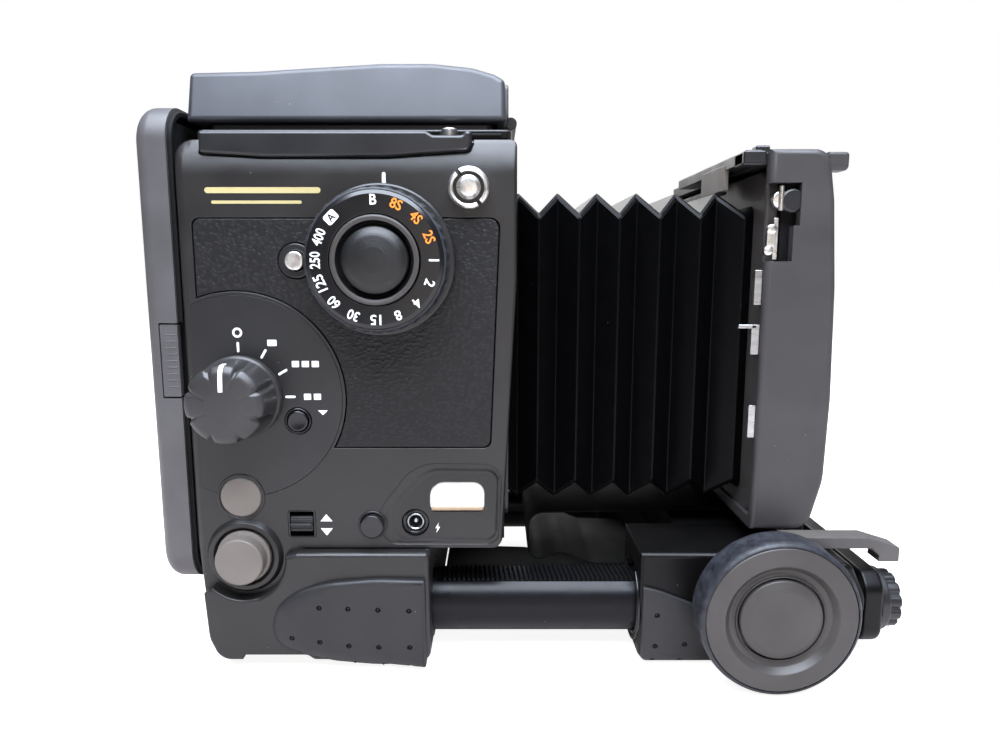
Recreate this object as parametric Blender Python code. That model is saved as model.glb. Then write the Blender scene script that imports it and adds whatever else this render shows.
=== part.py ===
"""Rail-focusing bellows reflex camera, lens removed, as separate moving pieces.

Frame: origin at the centre of the tripod plate's underside, +X towards the lens, +Y to the
camera's left, +Z up. Sizes below are in millimetres; meshes are written in metres.
"""

import math

import bmesh
import bpy
from mathutils import Matrix, Vector

MM = 0.001
GAP = 0.3  # air between pieces that touch on the real object
ROUND_STEPS = 26

# Driving dimensions
OPTICAL_Z = 100.0  # height of the lens axis and of the back's turning axis
SHELL_OUT = 62.0  # outer face of each side cover, from the middle plane
SHELL_IN = 56.3
BOX_HALF = 56.0
BOX_REAR = -36.0
BOX_FRONT = 58.0
BOX_BOTTOM = 40.0
BOX_TOP = 158.0
COVER_TOP = 163.4
COVER_REAR = -39.0
COVER_FRONT = 61.5
INLAY_DEPTH = 1.2  # recess of the leatherette and of the mode plate in a side cover
INLAY_THICK = 0.9
BASE_REAR = -35.0
BASE_FRONT = 34.6
BASE_BOTTOM = 3.0
BASE_TOP = 38.7
BASE_HALF = 66.0
ROD_Y = 48.0
ROD_Z = 16.0
ROD_RADIUS = 10.4
ROD_START = BASE_FRONT - 14.2
ROD_END = 177.0
CROSSBAR_REAR = 174.2
CROSSBAR_FRONT = 180.7
CARRIAGE_REAR = 101.0
CARRIAGE_FRONT = 173.2
CARRIAGE_HALF = 62.0
CARRIAGE_TOP = 37.0
KNOB_X = 138.9
KNOB_Z = 24.2
GEAR_MODULE = 0.5
PINION_TEETH = 12
SPINDLE_TEETH = 18
PINION_RADIUS = GEAR_MODULE * PINION_TEETH / 2
SPINDLE_RADIUS = GEAR_MODULE * SPINDLE_TEETH / 2
PINION_Z = KNOB_Z + PINION_RADIUS + SPINDLE_RADIUS
RACK_LINE_Z = PINION_Z - PINION_RADIUS
RACK_PITCH = math.pi * GEAR_MODULE
STANDARD_REAR = 136.0
STANDARD_HALF = 60.0
BACK_REAR = -52.3
BACK_FRONT = -39.9
BACK_BOTTOM = 25.4
BACK_TOP = 174.0
BACK_HALF = 60.0
LID_HINGE = (60.0, 171.2)
MIRROR_HINGE = (-27.0, 146.0)
MAGNIFIER_HINGE = (-23.5, 180.0)
BELLOWS_HALF_Y = 46.0
BELLOWS_HALF_Z = 51.0
BELLOWS_Z = 99.0
PLEATS = 6

# Places of the controls on the right side cover, as (x, z)
SHUTTER_DIAL = (21.4, 128.3)
DIAL_LOCK = (-4.0, 128.2)
STRAP_LUG = (47.4, 149.1)
FINDER_BUTTON = (40.7, -53.9)
MODE_PLATE = (-22.7, 87.0)
MODE_PLATE_RADIUS = 31.2
MODE_DIAL = (-22.5, 87.3)
FILM_WIND = (-5.3, 79.8)
SIDE_CAP = (-24.0, 55.6)
REMOTE_CAP = (-23.6, 36.7)
MIRROR_SWITCH = (-5.4, 46.9)
PREVIEW = (16.7, 46.6)
SYNC = (30.0, 47.0)
WINDOW = (34.4, 51.8, 50.3, 59.9)

FINISHES = {
    "shell": ((0.035, 0.036, 0.04), 0.45, 0.0),
    "satin": ((0.03, 0.03, 0.032), 0.35, 0.0),
    "inner": ((0.012, 0.012, 0.012), 0.7, 0.0),
    "leatherette": ((0.03, 0.03, 0.033), 0.6, 0.0),
    "grip": ((0.035, 0.035, 0.037), 0.75, 0.0),
    "rubber": ((0.09, 0.1, 0.12), 0.6, 0.0),
    "anodised": ((0.03, 0.033, 0.045), 0.25, 1.0),
    "chrome": ((0.75, 0.74, 0.7), 0.18, 1.0),
    "steel": ((0.45, 0.45, 0.46), 0.3, 1.0),
    "bellows": ((0.008, 0.008, 0.008), 0.55, 0.0),
    "glass": ((0.8, 0.85, 0.85), 0.05, 0.0),
    "ivory": ((0.92, 0.91, 0.88), 0.4, 0.0),
    "silver": ((0.82, 0.84, 0.86), 0.08, 1.0),
}


def clear_scene():
    for obj in list(bpy.data.objects):
        bpy.data.objects.remove(obj, do_unlink=True)


def finish(name):
    """The Principled material of one finish, made once."""
    found = bpy.data.materials.get(name)
    if found:
        return found
    colour, roughness, metallic = FINISHES[name]
    made = bpy.data.materials.new(name)
    made.use_nodes = True
    shader = made.node_tree.nodes["Principled BSDF"]
    shader.inputs["Base Color"].default_value = (*colour, 1.0)
    shader.inputs["Roughness"].default_value = roughness
    shader.inputs["Metallic"].default_value = metallic
    return made


def place(name, bm, look, origin=(0, 0, 0), smooth=False):
    """An object from a bmesh in millimetres, its origin moved to a joint axis where it has one."""
    bmesh.ops.remove_doubles(bm, verts=bm.verts, dist=0.0005)
    bmesh.ops.recalc_face_normals(bm, faces=bm.faces)
    bmesh.ops.translate(bm, verts=bm.verts, vec=-Vector(origin))
    bmesh.ops.scale(bm, verts=bm.verts, vec=(MM, MM, MM))
    mesh = bpy.data.meshes.new(name)
    bm.to_mesh(mesh)
    bm.free()
    if smooth:
        mesh.shade_smooth()
        mesh.set_sharp_from_angle(angle=math.radians(35))
    obj = bpy.data.objects.new(name, mesh)
    obj.location = Vector(origin) * MM
    bpy.context.scene.collection.objects.link(obj)
    if look:
        mesh.materials.append(finish(look))
    return obj


def box_mesh(x, y, z):
    bm = bmesh.new()
    middle = [(low + high) / 2 for low, high in (x, y, z)]
    size = [high - low for low, high in (x, y, z)]
    bmesh.ops.create_cube(bm, size=1.0)
    bmesh.ops.scale(bm, verts=bm.verts, vec=size)
    bmesh.ops.translate(bm, verts=bm.verts, vec=middle)
    return bm


def box(name, x, y, z, look, origin=(0, 0, 0)):
    return place(name, box_mesh(x, y, z), look, origin)


def prism_mesh(outline, low, high, axis):
    """The outline pushed from low to high along an axis: X takes (y, z), Y (x, z), Z (x, y)."""
    put = {
        "X": lambda a, b, c: (c, a, b),
        "Y": lambda a, b, c: (a, c, b),
        "Z": lambda a, b, c: (a, b, c),
    }[axis]
    bm = bmesh.new()
    face = bm.faces.new([bm.verts.new(put(a, b, low)) for a, b in outline])
    pushed = bmesh.ops.extrude_face_region(bm, geom=[face])["geom"]
    moved = [item for item in pushed if isinstance(item, bmesh.types.BMVert)]
    bmesh.ops.translate(bm, verts=moved, vec=put(0, 0, high - low))
    return bm


def prism(name, outline, low, high, axis, look, origin=(0, 0, 0)):
    return place(name, prism_mesh(outline, low, high, axis), look, origin)


def facing(direction):
    """The rotation that takes local +Z to a direction."""
    return Vector((0, 0, 1)).rotation_difference(Vector(direction)).to_matrix().to_4x4()


def turned_mesh(profile, centre, direction, steps=ROUND_STEPS, ring=False):
    """The (radius, height) profile spun about an axis through centre."""
    bm = bmesh.new()
    points = [bm.verts.new((radius, 0, height)) for radius, height in profile]
    edges = [bm.edges.new(pair) for pair in zip(points, points[1:])]
    if ring:
        edges.append(bm.edges.new((points[-1], points[0])))
    bmesh.ops.spin(
        bm,
        geom=points + edges,
        cent=(0, 0, 0),
        axis=(0, 0, 1),
        angle=math.tau,
        steps=steps,
        use_merge=True,
    )
    bmesh.ops.remove_doubles(bm, verts=bm.verts, dist=0.0005)
    bm.transform(Matrix.Translation(centre) @ facing(direction))
    return bm


def turned(name, profile, centre, direction, look, steps=ROUND_STEPS, ring=False):
    bm = turned_mesh(profile, centre, direction, steps, ring)
    return place(name, bm, look, centre, smooth=True)


def rod_mesh(radius, start, end, steps=ROUND_STEPS):
    length = (Vector(end) - Vector(start)).length
    profile = [(0, 0), (radius, 0), (radius, length), (0, length)]
    return turned_mesh(profile, start, Vector(end) - Vector(start), steps)


def rounded(corners, segments=3):
    """The polygon with each (a, b, radius) corner rounded by an arc."""
    points = []
    for index, (a, b, radius) in enumerate(corners):
        corner = Vector((a, b))
        before = (Vector(corners[index - 1][:2]) - corner).normalized()
        after = (Vector(corners[(index + 1) % len(corners)][:2]) - corner).normalized()
        if radius == 0:
            points.append((a, b))
            continue
        half = before.angle(after) / 2
        reach = radius / math.tan(half)
        centre = corner + (before + after).normalized() * radius / math.sin(half)
        first = corner + before * reach - centre
        turn = first.angle_signed(corner + after * reach - centre)
        for step in range(segments + 1):
            spoke = first.copy()
            spoke.rotate(Matrix.Rotation(-turn * step / segments, 2))
            points.append(tuple(centre + spoke))
    return points


def rectangle(low_a, high_a, low_b, high_b, radius, segments=3):
    corners = [
        (low_a, low_b, radius),
        (high_a, low_b, radius),
        (high_a, high_b, radius),
        (low_a, high_b, radius),
    ]
    return rounded(corners, segments)


def circle(centre, radius, steps=ROUND_STEPS, start=0.0, end=math.tau):
    turns = [start + (end - start) * step / steps for step in range(steps)]
    return [(centre[0] + radius * math.cos(t), centre[1] + radius * math.sin(t)) for t in turns]


def combine(obj, bm, operation, index):
    """A Boolean on obj with a helper made from bm."""
    helper = place(f"{obj.name}_{operation.lower()}_{index}", bm, None)
    helper.hide_render = True
    helper.display_type = "WIRE"
    modifier = obj.modifiers.new(helper.name, "BOOLEAN")
    modifier.operation = operation
    modifier.solver = "EXACT"
    modifier.object = helper


def cut(obj, *meshes):
    for bm in meshes:
        combine(obj, bm, "DIFFERENCE", len(obj.modifiers))


def join(obj, *meshes):
    for bm in meshes:
        combine(obj, bm, "UNION", len(obj.modifiers))


def soften(obj, width, segments=2):
    modifier = obj.modifiers.new("soft_edges", "BEVEL")
    modifier.width = width * MM
    modifier.segments = segments
    modifier.limit_method = "ANGLE"
    modifier.angle_limit = math.radians(50)


def both_sides():
    """(name, sign of Y): the right side of the camera is at negative Y."""
    return (("right", -1), ("left", 1))


def span(side, near, far):
    """The Y range between two distances from the middle plane, on one side."""
    return tuple(sorted((side * near, side * far)))


def hole(centre, radius, deep, steps=18):
    """A cutter into the right side cover, as deep as the given distance from the middle plane."""
    return rod_mesh(
        radius, (centre[0], -SHELL_OUT - 4, centre[1]), (centre[0], -deep, centre[1]), steps
    )


# Body shell ---------------------------------------------------------------------------------


def mirror_box():
    obj = box(
        "mirror_box", (BOX_REAR, BOX_FRONT), (-BOX_HALF, BOX_HALF), (BOX_BOTTOM, BOX_TOP), "inner"
    )
    gate_radius = 45.5
    cut(
        obj,
        box_mesh((BOX_REAR + 4, BOX_FRONT + 1), (-46, 46), (50, 152)),
        box_mesh((-24, 50), (-41, 41), (151, BOX_TOP + 1)),
        rod_mesh(gate_radius, (BOX_REAR - 1, 0, OPTICAL_Z), (BOX_REAR + 5, 0, OPTICAL_Z)),
    )


def cover_outline():
    return rounded(
        [
            (-36.7, 22.3, 0),
            (-5.6, 22.3, 0),
            (-5.6, 39.0, 0),
            (57.2, 39.0, 3),
            (58.5, 64.0, 0),
            (COVER_FRONT, 122.0, 0),
            (COVER_FRONT, COVER_TOP, 1.5),
            (COVER_REAR, COVER_TOP, 6),
            (COVER_REAR, 40.0, 0),
        ]
    )


def leather_outline(margin=0.0):
    """Edge of the leatherette: straight on three sides, hollowed by the mode plate's circle."""
    radius = MODE_PLATE_RADIUS + 1.3 - margin
    centre_x, centre_z = MODE_PLATE
    left, bottom = -34.0 - margin, 71.5 - margin
    high = math.acos((left - centre_x) / radius)
    low = math.asin((bottom - centre_z) / radius)
    hollow = [high + (low - high) * step / 12 for step in range(13)]
    edge = rounded(
        [
            (left, 118.0, 0),
            (left, 140.5 + margin, 2),
            (56.3 + margin, 140.5 + margin, 3),
            (53.5 + margin, bottom, 2.5),
            (8.0, bottom, 0),
        ]
    )[1:-1]
    arc = [(centre_x + radius * math.cos(t), centre_z + radius * math.sin(t)) for t in hollow]
    return edge + arc[::-1]


def mode_plate_outline(grow=0.0):
    """A circle with its rear cut off flush with the side cover's edge."""
    radius = MODE_PLATE_RADIUS + grow
    rear = COVER_REAR + 1.2 - grow
    reach = math.acos((rear - MODE_PLATE[0]) / radius)
    turns = [-reach + 2 * reach * step / 30 for step in range(31)]
    return [
        (MODE_PLATE[0] + radius * math.cos(t), MODE_PLATE[1] + radius * math.sin(t)) for t in turns
    ]


def right_side_cover():
    obj = prism("right_side_cover", cover_outline(), -SHELL_OUT, -SHELL_IN, "Y", "shell")
    floor = -SHELL_OUT + INLAY_DEPTH
    outside = -SHELL_OUT - 1
    switch_x, switch_z = MIRROR_SWITCH
    scoop = rounded(
        [(23, 40.8, 4), (54.5, 40.8, 6), (55.8, 64.5, 7), (33, 64.5, 12), (23, 52, 6)], segments=5
    )
    window = rounded(
        [
            (WINDOW[0], WINDOW[2], 2),
            (WINDOW[1], WINDOW[2], 2),
            (WINDOW[1], WINDOW[3], 3.4),
            (WINDOW[0], WINDOW[3], 4.4),
        ]
    )
    cut(
        obj,
        prism_mesh(leather_outline(GAP), outside, floor, "Y"),
        prism_mesh(mode_plate_outline(GAP), outside, floor, "Y"),
        prism_mesh(scoop, outside, -SHELL_OUT + 1.4, "Y"),
        prism_mesh(window, outside, -SHELL_IN + 1, "Y"),
        box_mesh((switch_x - 4.3, switch_x + 4.3), (outside, -59.6), (switch_z - 4.3, switch_z + 4.3)),
        box_mesh((-31.6, 47.8), (outside, -57.8), (157.4, COVER_TOP + 1)),
        hole(FILM_WIND, 3.5, 57.7),
        hole(DIAL_LOCK, 3.1, 57.4),
        hole(PREVIEW, 3.9, 57.4),
        hole(SYNC, 4.0, 57.7),
        hole(SIDE_CAP, 6.6, 60.4),
    )
    boss = [(0, 0), (12.4, 0), (10.8, 2.2), (0, 2.2)]
    join(obj, turned_mesh(boss, (REMOTE_CAP[0], 0.5 - SHELL_OUT, REMOTE_CAP[1]), (0, -1, 0), 24))


def left_side_cover():
    obj = prism("left_side_cover", cover_outline(), SHELL_IN, SHELL_OUT, "Y", "shell")
    inlay = rectangle(-34 - GAP, 53.5 + GAP, 71.5 - GAP, 140.5 + GAP, 3)
    cut(obj, prism_mesh(inlay, SHELL_OUT - INLAY_DEPTH, SHELL_OUT + 1, "Y"))


def inlays():
    """Leatherette on both sides, and the smooth round plate under the mode dial."""
    face = -SHELL_OUT
    right = prism("leatherette_right", leather_outline(), face, face + INLAY_THICK, "Y", "leatherette")
    cut(right, hole(DIAL_LOCK, 5.2, 58))
    prism(
        "leatherette_left",
        rectangle(-34, 53.5, 71.5, 140.5, 3),
        SHELL_OUT - INLAY_THICK,
        SHELL_OUT,
        "Y",
        "leatherette",
    )
    plate = prism(
        "mode_disc_plate", mode_plate_outline(), face, face + INLAY_THICK, "Y", "satin"
    )
    cut(plate, hole(FILM_WIND, 3.8, 58), hole(SIDE_CAP, 6.9, 58))


def top_plate():
    obj = box(
        "top_plate", (COVER_REAR + 1, COVER_FRONT - 0.5), (-56, 56), (BOX_TOP + GAP, COVER_TOP), "shell"
    )
    x, y = FINDER_BUTTON
    cut(
        obj,
        box_mesh((-27, 53), (-44, 44), (BOX_TOP, COVER_TOP + 1)),
        box_mesh((x - 1.9, x + 1.9), (-57, y + 1.9), (COVER_TOP - 1.6, COVER_TOP + 1)),
    )


def base_block():
    outline = rounded(
        [
            (BASE_REAR, BASE_BOTTOM, 6),
            (BASE_FRONT, BASE_BOTTOM, 1.5),
            (BASE_FRONT, BASE_TOP, 0),
            (BASE_REAR, BASE_TOP, 0),
        ]
    )
    obj = prism("base_block", outline, -BASE_HALF, BASE_HALF, "Y", "shell")
    x, z = REMOTE_CAP
    corner = [(BASE_REAR, 21.5), (-4.0, 21.5), (-4.0, BASE_TOP), (x + 13.2, BASE_TOP)]
    hollow = circle(REMOTE_CAP, 13.3, 14, math.radians(-145), math.radians(5))[::-1]
    near_side = corner + hollow + [(BASE_REAR, z - 8.5)]
    notch = (BASE_REAR - 1, -5.3)
    above = (22.0, BASE_TOP + 1)
    for _, side in both_sides():
        bore_end = (BASE_FRONT + 1, side * ROD_Y, ROD_Z)
        cut(
            obj,
            box_mesh(notch, span(side, BOX_HALF, BASE_HALF + 1), above),
            rod_mesh(ROD_RADIUS + GAP, (ROD_START - 0.4, side * ROD_Y, ROD_Z), bore_end),
        )
    cut(obj, box_mesh((-26.3, 26.3), (-26.3, 26.3), (BASE_BOTTOM - 1, 6.3)))
    join(obj, prism_mesh(near_side, -BASE_HALF, -SHELL_OUT - GAP, "Y"))


def tripod_plate():
    """Steel plate with the two tripod threads, plain holes here."""
    obj = box("tripod_plate", (-26, 26), (-26, 26), (0, 6), "steel")
    soften(obj, 1.0, 1)
    for x, radius in ((-14, 3.2), (14, 4.8)):
        cut(obj, rod_mesh(radius, (x, 0, -1), (x, 0, 7), 24))


def base_grips():
    corners = [(33.8, 0.7, 3), (33.8, 31.0, 3), (5, 31.0, 18), (-17.5, 20.5, 5), (-14, 8, 6), (12, 0.7, 12)]
    for name, side in both_sides():
        low, high = span(side, BASE_HALF + GAP, BASE_HALF + 2.4)
        prism(f"base_grip_{name}", rounded(corners, 5), low, high, "Y", "grip")


def scale_window():
    x0, x1, z0, z1 = WINDOW
    outline = rounded(
        [
            (x0 + GAP, z0 + GAP, 2),
            (x1 - GAP, z0 + GAP, 2),
            (x1 - GAP, z1 - GAP, 3.2),
            (x0 + GAP, z1 - GAP, 4.2),
        ]
    )
    prism("scale_window", outline, -59.4, -57.4, "Y", "ivory")


# Focusing rails -----------------------------------------------------------------------------


def rack_outline(start, count):
    """Side view of a rack: a bar whose top carries straight-sided teeth."""
    tip, root = RACK_LINE_Z + 0.3, RACK_LINE_Z - 0.5
    points = []
    for tooth in range(count):
        middle = start + tooth * RACK_PITCH
        for offset, height in ((-0.3, root), (-0.13, tip), (0.13, tip), (0.3, root)):
            points.append((middle + offset * RACK_PITCH, height))
    bar_rear, bar_front, bar_bottom = 40.0, CROSSBAR_REAR - 0.6, 22.0
    ends = [(bar_front, root), (bar_front, bar_bottom), (bar_rear, bar_bottom), (bar_rear, root)]
    return points + ends


def rails():
    """Two rods held in the base block, each with a rack along its top."""
    teeth_back = 42
    start = KNOB_X + RACK_PITCH / 2 - teeth_back * RACK_PITCH
    for name, side in both_sides():
        bm = rod_mesh(ROD_RADIUS, (ROD_START, side * ROD_Y, ROD_Z), (ROD_END, side * ROD_Y, ROD_Z))
        obj = place(f"rail_rod_{name}", bm, "anodised", smooth=True)
        low, high = span(side, ROD_Y - 3, ROD_Y + 3)
        join(obj, prism_mesh(rack_outline(start, teeth_back + 8), low, high, "Y"))


def rail_crossbar():
    outline = rectangle(-59.5, 59.5, 3.8, 28.4, 8, 5)
    obj = prism("rail_crossbar", outline, CROSSBAR_REAR, CROSSBAR_FRONT, "X", "shell")
    for _, side in both_sides():
        start = (CROSSBAR_REAR - 1, side * ROD_Y, ROD_Z)
        cut(obj, rod_mesh(ROD_RADIUS + GAP, start, (ROD_END + GAP, side * ROD_Y, ROD_Z)))


def lobed(radius, depth, lobes, per_lobe=4):
    """A round outline with evenly spaced hollows."""
    points = []
    for step in range(lobes * per_lobe):
        turn = math.tau * step / (lobes * per_lobe)
        reach = radius - depth * (0.5 + 0.5 * math.cos(lobes * turn)) ** 3
        points.append((reach * math.cos(turn), reach * math.sin(turn)))
    return points


def rail_lock_knob():
    outline = [(y - ROD_Y, z + ROD_Z) for y, z in lobed(9.7, 0.9, 12)]
    origin = (CROSSBAR_FRONT, -ROD_Y, ROD_Z)
    prism("rail_lock_knob", outline, CROSSBAR_FRONT + GAP, CROSSBAR_FRONT + 7.3, "X", "satin", origin)


# Carriage and front standard ----------------------------------------------------------------


def carriage():
    outline = rounded(
        [
            (CARRIAGE_REAR, 1.5, 1),
            (CARRIAGE_REAR, CARRIAGE_TOP, 1.5),
            (148.0, CARRIAGE_TOP, 0),
            (148.0, 33.5, 0),
            (168.4, 33.5, 1.5),
            (CARRIAGE_FRONT - 0.6, 22.0, 8),
            (CARRIAGE_FRONT - 1.5, 8.0, 6),
            (161.4, 1.5, 4),
            (140.0, 0.3, 0),
            (112.0, 0.3, 0),
        ]
    )
    obj = prism("carriage", outline, -CARRIAGE_HALF, CARRIAGE_HALF, "Y", "shell")
    hub = [(0, 0), (15.5, 0), (14.0, 7.6), (0, 7.6)]
    for _, side in both_sides():
        centre = (KNOB_X, side * (CARRIAGE_HALF - 1), KNOB_Z)
        join(obj, turned_mesh(hub, centre, (0, side, 0), 24))
    inside = 34.0
    cut(
        obj,
        box_mesh((CARRIAGE_REAR - 1, 118), (-inside, inside), (-1, 40)),
        box_mesh((117, CARRIAGE_FRONT + 1), (-inside, inside), (-1, 20)),
        box_mesh((165, CARRIAGE_FRONT + 1), (-inside, inside), (19, 40)),
        rod_mesh(2.3, (KNOB_X, -60, PINION_Z), (KNOB_X, 60, PINION_Z), 16),
    )
    for _, side in both_sides():
        through = (CARRIAGE_REAR - 1, CARRIAGE_FRONT + 1)
        cut(
            obj,
            rod_mesh(
                ROD_RADIUS + GAP, (through[0], side * ROD_Y, ROD_Z), (through[1], side * ROD_Y, ROD_Z)
            ),
            box_mesh(through, span(side, ROD_Y - 3.3, ROD_Y + 3.3), (20, RACK_LINE_Z + 1)),
            box_mesh((KNOB_X - 4, KNOB_X + 4), span(side, 44.2, 51.8), (25, 35.6)),
            box_mesh((KNOB_X - 5.5, KNOB_X + 5.5), span(side, 58.95, 61.1), (18.9, 35.9)),
            rod_mesh(2.6, (KNOB_X, side * 60.5, KNOB_Z), (KNOB_X, side * 75, KNOB_Z), 20),
        )


def carriage_grips():
    corners = [(101.6, 1.9, 1), (122, 1.2, 3), (122, 17.5, 3), (112, 22.0, 10), (101.6, 23.5, 1)]
    for name, side in both_sides():
        low, high = span(side, CARRIAGE_HALF + GAP, CARRIAGE_HALF + 1.6)
        prism(f"carriage_grip_{name}", rounded(corners), low, high, "Y", "grip")


def gear_outline(teeth, radius, centre, phase):
    """Straight-flanked spur gear, seen along Y."""
    tip, root = radius + 0.3, radius - 0.5
    pitch = math.tau / teeth
    points = []
    for tooth in range(teeth):
        middle = phase + tooth * pitch
        for offset, reach in ((-0.3, root), (-0.12, tip), (0.12, tip), (0.3, root)):
            turn = middle + offset * pitch
            points.append((centre[0] + reach * math.cos(turn), centre[1] + reach * math.sin(turn)))
    return points


def pinion_shaft():
    """Cross shaft: an inner pinion on each rack, an outer one on each knob's gear."""
    end = 58.0
    bm = rod_mesh(2.0, (KNOB_X, -end, PINION_Z), (KNOB_X, end, PINION_Z), 16)
    obj = place("pinion_shaft", bm, "steel", (KNOB_X, 0, PINION_Z))
    pitch = math.tau / PINION_TEETH
    outline = gear_outline(PINION_TEETH, PINION_RADIUS, (KNOB_X, PINION_Z), -math.pi / 2 + pitch)
    for _, side in both_sides():
        for near, far in ((45.5, 50.5), (57.0, 60.7)):
            if near > 55:
                join(obj, prism_mesh(outline, *span(side, 59.25, far), "Y"))
                ends = [(KNOB_X, side * reach, PINION_Z) for reach in (near, 59.9)]
                join(obj, rod_mesh(2.0, *ends, 16))
            else:
                join(obj, prism_mesh(outline, *span(side, near, far), "Y"))


def focus_knobs():
    """Dished knob with its spindle and gear, and a rubber ring round its rim."""
    body = [
        (0, 8.0),
        (18.0, 8.0),
        (22.3, 9.2),
        (22.3, 20.0),
        (21.6, 20.4),
        (16.6, 20.4),
        (14.6, 18.6),
        (12.6, 18.2),
        (12.3, 19.2),
        (11.2, 20.2),
        (7.0, 20.9),
        (0, 21.2),
    ]
    pitch = math.tau / SPINDLE_TEETH
    for name, side in both_sides():
        centre = (KNOB_X, side * 61.0, KNOB_Z)
        obj = place(
            f"focus_knob_{name}",
            turned_mesh(body, centre, (0, side, 0), 30),
            "satin",
            (KNOB_X, side * 61.0, KNOB_Z),
            smooth=True,
        )
        gear = gear_outline(
            SPINDLE_TEETH, SPINDLE_RADIUS, (KNOB_X, KNOB_Z), math.pi / 2 + pitch / 2
        )
        join(
            obj,
            rod_mesh(2.3, (KNOB_X, side * 60.0, KNOB_Z), (KNOB_X, side * 70, KNOB_Z), 20),
            prism_mesh(gear, *span(side, 59.25, 60.7), "Y"),
        )
        ring = [(22.6, 9.6), (23.4, 9.6), (23.8, 10.4), (23.8, 18.6), (23.2, 20.0), (22.6, 20.0)]
        turned(f"knob_rubber_{name}", ring, centre, (0, side, 0), "rubber", 30, ring=True)


def front_frame():
    """Inner plate of the standard: a foot on the carriage, and a ledge round the lens opening."""
    outline = [
        (-41, CARRIAGE_TOP + GAP),
        (41, CARRIAGE_TOP + GAP),
        (41, 48.3),
        (55.7, 48.3),
        (55.7, 155.7),
        (-55.7, 155.7),
        (-55.7, 48.3),
        (-41, 48.3),
    ]
    obj = prism("front_frame", outline, 141.3, 152.7, "X", "inner")
    join(obj, prism_mesh(rectangle(-49.6, 49.6, 50.4, 149.6, 6), 152.0, 153.7, "X"))
    cut(obj, prism_mesh(rectangle(-45, 45, 55, 145, 6), 140, 155, "X"))


def standard_cover():
    outline = [
        (STANDARD_REAR, 44.0, 0),
        (154.5, 44.0, 5),
        (158.3, 60.0, 0),
        (158.8, 86.0, 0),
        (157.8, 120.0, 0),
        (155.9, 146.0, 0),
        (153.4, 160.8, 5),
        (STANDARD_REAR, 160.8, 0),
    ]
    obj = prism("standard_cover", rounded(outline), -STANDARD_HALF, STANDARD_HALF, "Y", "shell")
    soften(obj, 1.2, 1)
    rear = STANDARD_REAR - 1
    cut(
        obj,
        box_mesh((rear, 153.0), (-56, 56), (48, 156)),
        prism_mesh(rectangle(-50, 50, 50, 150, 6), 150, 162, "X"),
        box_mesh((rear, 153.0), (-41.3, 41.3), (43, 49)),
        box_mesh((rear, 145.5), (-61, -55), (138.5, 151)),
        box_mesh((rear, 143.7), (-61, -55), (128, 139)),
    )


def lens_lock_bar():
    """Sliding bar behind the top of the standard that lets the lens board go."""
    origin = (132, -19, 159)
    obj = box("lens_lock_bar", (128.5, STANDARD_REAR - GAP), (-58, 20), (157.0, 160.8), "satin", origin)
    join(obj, box_mesh((129, 134), (-26, -18), (150.6, 158)))
    soften(obj, 0.5, 1)


def bracket_arms():
    outline = rounded(
        [
            (148.3, 33.8, 0),
            (181.2, 33.8, 1.2),
            (182.6, 29.3, 0),
            (189.5, 29.3, 0.6),
            (189.5, 34.4, 0.8),
            (179.0, 37.6, 0),
            (148.3, 37.6, 0),
        ],
        3,
    )
    for name, side in both_sides():
        prism(f"bracket_arm_{name}", outline, *span(side, 42.5, 50.0), "Y", "satin")


def bellows():
    """Pleated rubber-cloth tube between the mirror box and the front frame."""
    rear, front = BOX_FRONT + 0.4, 141.0
    fold, wall, chamfer = 6.0, 1.0, 9.0
    rings = []
    for inner in (False, True):
        for step in range(2 * PLEATS + 1):
            k = step if not inner else 2 * PLEATS - step
            shrink = (0.0 if k % 2 else fold) + (wall if inner else 0.0)
            half_y, half_z = BELLOWS_HALF_Y - shrink, BELLOWS_HALF_Z - shrink
            x = rear + (front - rear) * k / (2 * PLEATS)
            outline = []
            for y_sign, z_sign in ((1, 1), (-1, 1), (-1, -1), (1, -1)):
                ends = [
                    (y_sign * half_y, z_sign * (half_z - chamfer)),
                    (y_sign * (half_y - chamfer), z_sign * half_z),
                ]
                outline += ends if y_sign * z_sign > 0 else ends[::-1]
            rings.append([(x, y, BELLOWS_Z + z) for y, z in outline])
    bm = bmesh.new()
    made = [[bm.verts.new(point) for point in ring] for ring in rings]
    for index, ring in enumerate(made):
        following = made[(index + 1) % len(made)]
        for corner in range(len(ring)):
            after = (corner + 1) % len(ring)
            bm.faces.new((ring[corner], ring[after], following[after], following[corner]))
    place("bellows", bm, "bellows")


def flex_ribbon():
    """Flat cable folded in loops, from the base block to the front frame."""
    half_width, thick = 24.0, 0.8
    line = [
        (35.0, 5.4),
        (64.0, 4.6),
        (72.0, 3.4),
        (80.0, 2.0),
        (98.0, 2.0),
        (108.0, 4.4),
        (112.5, 9.0),
        (112.5, 14.0),
        (108.5, 17.2),
        (94.0, 17.6),
        (85.0, 20.0),
        (79.0, 21.0),
        (73.5, 19.6),
        (69.5, 20.6),
        (67.2, 25.0),
        (67.2, 32.0),
        (69.0, 36.0),
        (74.0, 37.6),
        (140.9, 38.7),
    ]
    left, right = [], []
    for index, point in enumerate(line):
        before = Vector(line[max(index - 1, 0)])
        after = Vector(line[min(index + 1, len(line) - 1)])
        along = (after - before).normalized()
        across = Vector((-along.y, along.x)) * thick / 2
        left.append(tuple(Vector(point) + across))
        right.append(tuple(Vector(point) - across))
    prism("flex_ribbon", left + right[::-1], -half_width, half_width, "Y", "inner")


# Controls on the right side -----------------------------------------------------------------


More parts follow.
